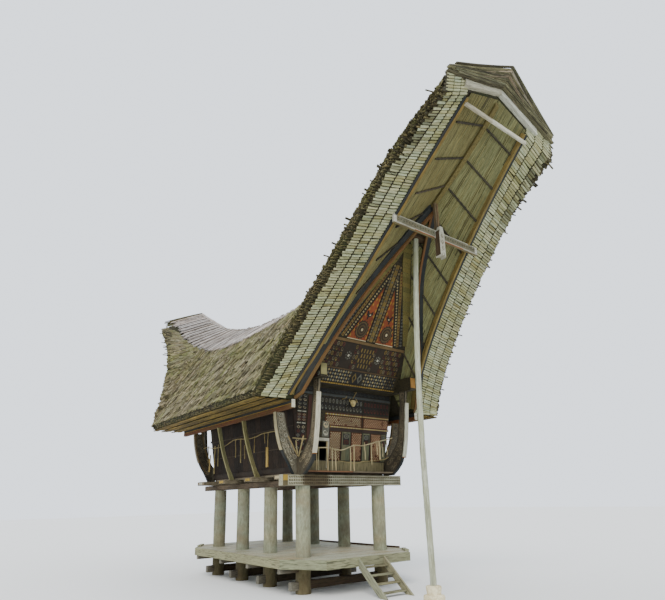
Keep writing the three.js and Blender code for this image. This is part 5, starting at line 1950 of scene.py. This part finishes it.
def plate_trim():
    """Painted end plates and carved outer sides of the wall plates."""
    heap = Heap("wall plate trim")
    low_z, high_z = PLATE_Z
    for side, sign in SIDES:
        low, high = node_box(f"wall_plate_{side}")
        tint = rgb("77714a") if side == "left" else rgb("7d5a24")
        for way, y in ((-1, low.y), (1, high.y)):
            face = Face(Vector((0, y, low_z)), ALONG_X * -way, UP)
            left, right = sorted(-way * sign * x for x in PLATE_X)
            face.plate(heap, left + 0.006, right - 0.006, low_z + 0.05, high_z - 0.006, -0.002, 0.014, tint)
        outside = Face(Vector((sign * PLATE_X[1], 0, low_z)), ALONG_Y * sign, UP)
        for first, last in ((low.y + 0.02, -0.1), (BACK_ROW_Y + 0.1, high.y - 0.02)):
            left, right = sorted((sign * first, sign * last))
            strip(outside, heap, left, right, 5.12, 5.26, rgb("201b16"), (DARK_RED, GREY), "ring", 0.12)
    heap.piece("wall_plate_trim", ["paint"])


# Timbers in the open prow

FRAME_PATH = ((0.0, 6.205), (0.28, 5.665), (0.61, 5.095), (1.10, 4.505), (1.61, 3.975), (2.08, 3.205))
FRAME_WIDTH = 0.16
FRAME_DEPTH = 0.25
FRAME_EDGE = 0.065
COLLAR_ALONG = (5.4855, 5.6855)
COLLAR_HALF = 0.355
COLLAR_Z = 8.505


def underside_z(end, x, along):
    """Height of the roof's underside at a place across and along."""
    part = (max(along - end.eave_length, 0.0) / end.reach) ** (1 / end.power)
    climb = end.rise * part / PROW_HEIGHT
    edge = EAVE_Z + PROW_HEIGHT * climb
    top = ridge_z(along) - ridge_depth(along)
    return top + (edge - top) * abs(x) / opening_half(climb)


def prow_frame(name, end):
    """Two boards that meet under the ridge and frame the gable, black with an orange lower edge."""
    heap = Heap(f"prow frame {name}")
    for sign in (-1, 1):
        boards = []
        edges = []
        for x, along in smooth_curve(FRAME_PATH, 18):
            y = end.y(along)
            under = underside_z(end, x, along)
            bottom = max(under - FRAME_DEPTH, EAVE_Z + FRAME_EDGE)
            top = max(under + 0.03, bottom + 0.03)
            for rings, near, far, low, high in ((boards, 0.0, FRAME_WIDTH, bottom, top),
                                                (edges, -0.055, 0.012, bottom - FRAME_EDGE, bottom + 0.04)):
                inside = max(x + near, 0.0) * sign
                outside = min(x + far, FRAME_PATH[-1][0] + 0.02) * sign
                corners = ((inside, low), (outside, low), (outside, high), (inside, high))
                rings.append([Vector((across, y, z)) for across, z in corners])
        heap.loft(boards)
        heap.loft(edges, heap.tone(0.05, (0.8, 0.78, 0.7)), look=1)
    y = (end.y(COLLAR_ALONG[0]) + end.y(COLLAR_ALONG[1])) / 2
    heap.bar((-COLLAR_HALF, y, COLLAR_Z), (COLLAR_HALF, y, COLLAR_Z), 0.19, 0.105, (0.8, 0.72, 0.6), look=2,
             chamfer=0.01)
    heap.piece(f"{name}_prow_frame", ["black", "orange", "beam"], replaces=[f"prow_rafters_{name}"])


TIE_REACH = 0.06
TIE_DEPTH = 0.055
LOWER_TIE_Z = (8.13, 8.35)
LOWER_TIE_HALF = 1.46
LOWER_TIE_FIGURES = 14
BORDER_RISE = 0.085
PENDANT_OUTLINE = ((-0.088, 7.63), (-0.045, 7.73), (0.0, 7.66), (0.045, 7.73), (0.088, 7.63), (0.088, 8.2),
                   (0.05, 8.42), (-0.05, 8.42), (-0.088, 8.2))
PROW_BOARD_THICKNESS = 0.1
PROW_BOARD_HALF = 1.28
PROW_BOARD_LOW = 10.763
PROW_BOARD_FALL = 0.358
PROW_BOARD_STEPS = 8
JOINT = 0.002


def lower_tie():
    """The carved tie across the prow, with a row of figures on both sides of the pendant."""
    heap = Heap("lower tie")
    front = node_box("prow_tie_lower")[0].y - TIE_REACH
    y = front + TIE_DEPTH / 2
    z = (LOWER_TIE_Z[0] + LOWER_TIE_Z[1]) / 2
    height = LOWER_TIE_Z[1] - LOWER_TIE_Z[0]
    bottom = z - height / 2
    half = LOWER_TIE_HALF
    heap.bar((-half, y, z), (half, y, z), TIE_DEPTH, height, chamfer=0.01, parts=14, wobble=0.002)
    heap.bar((-half, y, bottom), (half, y, bottom), TIE_DEPTH, 0.012, (0.36, 0.3, 0.17), chamfer=0.003,
             parts=6, wobble=0.001)
    face = Face(Vector((0, front, z)), ALONG_X, UP)
    ground = rgb("6d6b58")
    for left, right in ((0.09 - half, -0.12), (0.12, half - 0.09)):
        face.plate(heap, left, right, z - BORDER_RISE, z + BORDER_RISE, 0.0, 0.004, ground, look=1)
        for rise in (-BORDER_RISE, BORDER_RISE):
            face.plate(heap, left, right, z + rise - 0.008, z + rise + 0.008, 0.004, 0.005, CHALK, look=1)
        for index, u in enumerate(spread(left, right, LOWER_TIE_FIGURES)):
            kind = "scroll" if index % 2 else "ring"
            motif(face, heap, kind, u, z, 0.042, 0.06, 0.004, heap.tone(0.12, CHALK), ground)
    for left, right in ((-0.8, -0.15), (0.15, 0.9)):
        face.plate(heap, left, right, bottom + 0.002, bottom + 0.014, 0.0, 0.009, ORANGE, look=1)
    heap.piece("carved_prow_tie", ["pale", "paint"], replaces=["prow_tie_lower"])


def upper_tie():
    """The plain tie above the carved one, made of two boards."""
    heap = Heap("upper tie")
    low, high = node_box("prow_tie_upper")
    place = Vector((0, low.y - TIE_REACH + TIE_DEPTH / 2, (low.z + high.z) / 2))
    for start, end, tint in ((-1.12, -0.2, (0.8, 0.76, 0.66)), (-0.2, 1.06, (1.15, 1.15, 1.1))):
        heap.bar(place + ALONG_X * start, place + ALONG_X * end, TIE_DEPTH, 0.095, tint, chamfer=0.01,
                 parts=8, wobble=0.003)
    heap.piece("plain_prow_tie", ["pale"], replaces=["prow_tie_upper"])


def pendant():
    """The notched board under the ties, hung from two laths."""
    heap = Heap("pendant")
    low, high = node_box("prow_pendant")
    front = low.y - TIE_REACH - 0.03
    y = (low.y + high.y) / 2
    for x in (-0.034, 0.034):
        heap.bar((x, y, 8.2), (x, y, high.z - 0.01), 0.05, 0.07, heap.tone(0.1, (1.5, 1.45, 1.3)),
                 up=ALONG_Y, look=1, chamfer=0.004)
    heap.prism([Vector((x, front, z)) for x, z in PENDANT_OUTLINE], ALONG_Y * 0.15, (0.9, 0.9, 0.86))
    face = Face(Vector((0, front, 7.6)), ALONG_X, UP)
    for z in (7.86, 8.02, 8.18):
        motif(face, heap, "eye", 0.0, z, 0.05, 0.06, 0.0, (0.45, 0.43, 0.38), (0.9, 0.88, 0.8))
    ends = [(-0.09, front + 0.075, z) for z in (7.68, 8.3)]
    heap.bar(*ends, 0.008, 0.14, (0.8, 0.72, 0.6), up=ALONG_Y, look=1, chamfer=0.002)
    heap.bar((0.05, y, 8.44), (0.14, y, 8.44), 0.07, 0.07, (1.6, 1.1, 0.9), look=1, chamfer=0.015)
    heap.piece("split_pendant", ["pale", "beam"], replaces=["prow_pendant"])


def prow_board():
    """The pale board that closes the tip of the prow under the cap, its left arm darkened as painted shade.
    """
    heap = Heap("prow board")
    back = FRONT.y(FRONT.length) - JOINT
    near = back - PROW_BOARD_THICKNESS
    along = FRONT.length + PROW_BOARD_THICKNESS / 2
    ridge = FRONT.ridge_point(along)
    knee = FRONT.knee_point(along)
    for sign in (-1, 1):
        rings = []
        for index in range(PROW_BOARD_STEPS + 1):
            x = JOINT + (PROW_BOARD_HALF - JOINT) * index / PROW_BOARD_STEPS
            low_z = PROW_BOARD_LOW - PROW_BOARD_FALL * x + heap.random.uniform(-0.004, 0.004)
            high_z = ridge.z + (knee.z - ridge.z) * x / knee.x - 0.004
            rings.append(slice_at(sign * x, near, back, low_z, high_z))
        # Painted shade: the left arm is darker than the right.
        heap.loft(rings, heap.tone(0.04, (0.86, 0.84, 0.76) if sign < 0 else (1.05, 1.05, 1.0)))
    heap.piece("pale_prow_board", ["pale"], replaces=["prow_board"])


# Railings of sticks, and what hangs on the front wall

FRONT_RAIL_Y = -0.45
FRONT_RAIL = ((-1.5, 3.45), (-1.09, 3.47), (-0.79, 3.48), (-0.55, 3.45), (-0.31, 3.44), (0.07, 3.58),
              (0.37, 3.58), (0.72, 3.66), (0.90, 3.71), (1.28, 3.79), (1.5, 3.85))
FRONT_LOWER_RAIL_Y = -0.30
FRONT_LOWER_RAIL = ((-0.36, 3.17), (0.22, 3.12), (0.48, 3.17), (0.92, 3.20), (1.29, 3.25), (1.48, 3.32))
FRONT_STICKS = ((-1.15, 3.53, 2.95, 0.016), (-1.09, 3.47, 2.97, 0.014), (-0.80, 3.64, 2.90, 0.028),
                (-0.65, 3.47, 2.98, 0.018), (-0.53, 3.45, 2.98, 0.016), (-0.04, 3.52, 3.01, 0.018),
                (0.08, 3.60, 2.98, 0.022), (0.48, 3.68, 3.21, 0.014), (0.71, 3.68, 3.09, 0.02),
                (0.93, 3.74, 3.36, 0.015), (1.02, 3.73, 3.23, 0.028), (1.13, 3.67, 3.30, 0.014),
                (1.30, 3.79, 3.37, 0.015))
SIDE_RAIL_X = 1.84
SIDE_RAIL = ((4.94, 3.88), (4.68, 3.89), (4.26, 3.83), (3.75, 3.81), (3.37, 3.82), (2.73, 3.95), (1.96, 3.89),
             (1.48, 3.90), (1.06, 3.95), (-0.05, 3.93))
SIDE_STICKS = ((4.58, 3.93, 3.39, 0.014), (4.11, 3.89, 3.03, 0.018), (3.86, 3.91, 3.24, 0.014),
               (2.69, 3.96, 3.43, 0.014), (2.36, 3.95, 3.25, 0.018), (2.12, 3.73, 3.35, 0.013),
               (1.58, 3.93, 3.48, 0.015), (1.0, 3.98, 3.68, 0.014), (0.85, 3.97, 3.56, 0.015))
HANGING_BOARDS = (((0.79, 3.04), (0.80, 3.56), 0.1, 0.018, (1.05, 0.86, 0.42)),
                  ((4.38, 3.10), (4.33, 3.62), 0.07, 0.016, (0.8, 0.66, 0.36)))
CORNER_STICKS = (((-1.62, -0.3, 3.25), (-1.85, -0.2, 3.75)), ((-1.60, -0.3, 3.24), (-1.55, -0.45, 3.75)),
                 ((-1.75, -0.25, 3.7), (-1.40, -0.35, 3.68)), ((-1.66, -0.34, 3.3), (-1.76, -0.42, 3.62)))


def stick(heap, start, end, radius, tint=WHITE):
    """A crooked bamboo stick."""
    draw = heap.random.uniform
    count = 5
    path = []
    for index in range(count + 1):
        sway = 0.006 if 0 < index < count else 0.0
        path.append(start.lerp(end, index / count) + Vector((draw(-sway, sway), draw(-sway, sway), 0)))
    heap.rod(path, [radius * draw(0.85, 1.1) for _ in path], 6, heap.tone(0.12, tint))


def railing_line(heap, points, radius, tint):
    path = [Vector(point) for point in smooth_curve(points, 24)]
    heap.rod(path, [radius * heap.random.uniform(0.85, 1.1) for _ in path], 6, heap.tone(0.1, tint))


def railings():
    """Crooked sticks along the front and both sides, with two hanging boards on each side."""
    heap = Heap("railings")
    y = FRONT_RAIL_Y
    railing_line(heap, [(x, y, z) for x, z in FRONT_RAIL], 0.014, WHITE)
    railing_line(heap, [(x, FRONT_LOWER_RAIL_Y, z) for x, z in FRONT_LOWER_RAIL], 0.011, (0.7, 0.66, 0.5))
    for x, top, bottom, radius in FRONT_STICKS:
        lean = heap.random.uniform(-0.02, 0.02)
        foot = bottom if bottom > 3.05 else LEDGE_HIGH - 0.002
        stick(heap, Vector((x, y + 0.016, foot)), Vector((x + lean, y + 0.016, top)), radius)
    for start, end in CORNER_STICKS:
        stick(heap, Vector(start), Vector(end), 0.016, (0.9, 0.85, 0.7))
    for sign in (-1, 1):
        railing_line(heap, [(sign * SIDE_RAIL_X, y, z) for y, z in SIDE_RAIL], 0.013, (0.72, 0.66, 0.5))
        for y, top, bottom, radius in SIDE_STICKS:
            lean = heap.random.uniform(-0.04, 0.04)
            stick(heap, Vector((sign * (SIDE_RAIL_X - 0.018), y, bottom)),
                  Vector((sign * (SIDE_RAIL_X - 0.018), y + lean, top)), radius, (0.75, 0.68, 0.5))
        x = sign * (SIDE_RAIL_X + 0.03)
        for start, end, width, thickness, tint in HANGING_BOARDS:
            heap.plank((x, *start), (x, *end), width, thickness, ALONG_X * sign, tint)
    heap.piece("stick_railings", ["stick"], smooth=50)


SKULL_RINGS = ((-0.1, 0.03, 0.025), (-0.075, 0.05, 0.04), (-0.02, 0.085, 0.055), (0.03, 0.1, 0.06),
               (0.065, 0.085, 0.05), (0.085, 0.03, 0.03))
HORN_STEPS = 8


def skull_ornament():
    """A small bleached skull with horns, hung from a peg on the front wall, and a hook and a hollow by it."""
    heap = Heap("skull")
    normal = FRONT_FACE.normal
    centre = FRONT_FACE.point(0.16, 4.76, 0.09)
    rings = [[centre + Vector((half_x * math.cos(turn), half_y * math.sin(turn), z)) for turn in around(12)]
             for z, half_x, half_y in SKULL_RINGS]
    heap.loft(rings, (1.05, 1.0, 0.78))
    for sign in (-1, 1):
        path = []
        for index in range(HORN_STEPS + 1):
            turn = math.radians(-20 + 110 * index / HORN_STEPS)
            reach = sign * (0.075 + 0.06 * math.cos(turn))
            path.append(centre + Vector((reach, -0.01, 0.05 + 0.07 * math.sin(turn))))
        radii = [0.016 * (1 - 0.75 * index / HORN_STEPS) for index in range(HORN_STEPS + 1)]
        heap.rod(path, radii, 8, (0.7, 0.64, 0.5))
    peg = FRONT_FACE.point(0.25, 5.06, 0.0)
    heap.rod([peg, peg + normal * 0.1, centre + UP * 0.12], 0.012, 6, (0.6, 0.52, 0.36))
    hook = FRONT_FACE.point(-0.16, 4.84, 0.0)
    path = [hook, hook + normal * 0.16 + UP * 0.02, hook + normal * 0.22 + UP * 0.08]
    heap.rod(path, [0.016, 0.013, 0.006], 7, (0.7, 0.62, 0.45))
    hollow = FRONT_FACE.point(-0.01, 4.68, 0.0)
    FRONT_FACE.oval(heap, -0.01, 4.68, 0.05, 0.07, 0.0, 0.007, (0.03, 0.03, 0.03), sides=14)
    heap.rod([hollow + normal * 0.004, hollow + normal * 0.02], 0.012, 6, (0.3, 0.26, 0.2))
    heap.piece("skull_and_pegs", ["stick"], smooth=50)


def make_curved_and_hanging_parts():
    for end_name, _ in ENDS:
        for side, sign in SIDES:
            corner_boards(end_name, side, sign)
    for side, sign in SIDES:
        eave_beam(side, sign)
    plate_trim()
    prow_frame("front", FRONT)
    prow_frame("back", BACK)
    lower_tie()
    upper_tie()
    pendant()
    prow_board()
    railings()
    skull_ornament()


make_curved_and_hanging_parts()


# Carried-over solids and their finishes

CARRIED = {
    "roof": "thatch_core",
    "ridge_cap": "cap_core",
    "ridge_pole": "object_ridge",
    "left_wall": "object_wall",
    "right_wall": "object_wall",
}
for node_name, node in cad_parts.items():
    look = CARRIED.get(node_name)
    if look is None:
        look = "object_panel" if "wall" in node_name or "gable" in node_name else "object_beam"
    node.data.materials.clear()
    node.data.materials.append(MATERIALS[look])


# Floor, light and camera

def stage_floor():
    size = 90.0
    mesh = bpy.data.meshes.new("studio_floor")
    corners = [(-size, -size, -0.002), (size, -size, -0.002), (size, size, -0.002), (-size, size, -0.002)]
    mesh.from_pydata(corners, [], [(0, 1, 2, 3)])
    material = bpy.data.materials.new("studio_floor")
    material.use_nodes = True
    shader = material.node_tree.nodes["Principled BSDF"]
    shader.inputs["Base Color"].default_value = (0.72, 0.72, 0.70, 1.0)
    shader.inputs["Roughness"].default_value = 0.95
    mesh.materials.append(material)
    floor = bpy.data.objects.new("studio_floor", mesh)
    bpy.context.scene.collection.objects.link(floor)


def lights():
    world = bpy.data.worlds.new("studio")
    bpy.context.scene.world = world
    world.use_nodes = True
    background = world.node_tree.nodes["Background"]
    background.inputs["Color"].default_value = (0.86, 0.92, 1.0, 1.0)
    background.inputs["Strength"].default_value = 1.9
    sun_data = bpy.data.lights.new("soft_sun", "SUN")
    sun_data.energy = 2.6
    sun_data.angle = math.radians(25)
    sun_data.color = (1.0, 0.97, 0.92)
    sun = bpy.data.objects.new("soft_sun", sun_data)
    sun.rotation_euler = (math.radians(48), math.radians(-12), math.radians(-38))
    bpy.context.scene.collection.objects.link(sun)


# The camera that took the photo, found by fitting the barn's straight lines and edges.
FOCAL_PIXELS = 520.48
IMAGE_WIDTH = 665
IMAGE_HEIGHT = 600
HORIZON_CENTRE = 360
CAMERA_YAW = 0.6546
CAMERA_PITCH = 0.2622
CAMERA_ROLL = -0.0203
CAMERA_PLACE = Vector((-8.917, -11.303, 2.181))
SENSOR_WIDTH = 36.0


def camera():
    data = bpy.data.cameras.new("camera")
    data.sensor_fit = "HORIZONTAL"
    data.sensor_width = SENSOR_WIDTH
    data.lens = FOCAL_PIXELS * SENSOR_WIDTH / IMAGE_WIDTH
    data.shift_y = (HORIZON_CENTRE - IMAGE_HEIGHT / 2) / IMAGE_WIDTH
    data.clip_end = 300.0
    forward = Vector((math.sin(CAMERA_YAW) * math.cos(CAMERA_PITCH),
                      math.cos(CAMERA_YAW) * math.cos(CAMERA_PITCH), math.sin(CAMERA_PITCH)))
    level = Vector((math.cos(CAMERA_YAW), -math.sin(CAMERA_YAW), 0.0))
    upright = level.cross(forward)
    right = level * math.cos(CAMERA_ROLL) + upright * math.sin(CAMERA_ROLL)
    top = upright * math.cos(CAMERA_ROLL) - level * math.sin(CAMERA_ROLL)
    obj = bpy.data.objects.new("camera", data)
    matrix = [[right[i], top[i], -forward[i], 0.0] for i in range(3)] + [[0.0, 0.0, 0.0, 1.0]]
    obj.matrix_world = Matrix(matrix)
    obj.location = CAMERA_PLACE + FRAME_SHIFT
    bpy.context.scene.collection.objects.link(obj)
    bpy.context.scene.camera = obj


stage_floor()
lights()
camera()
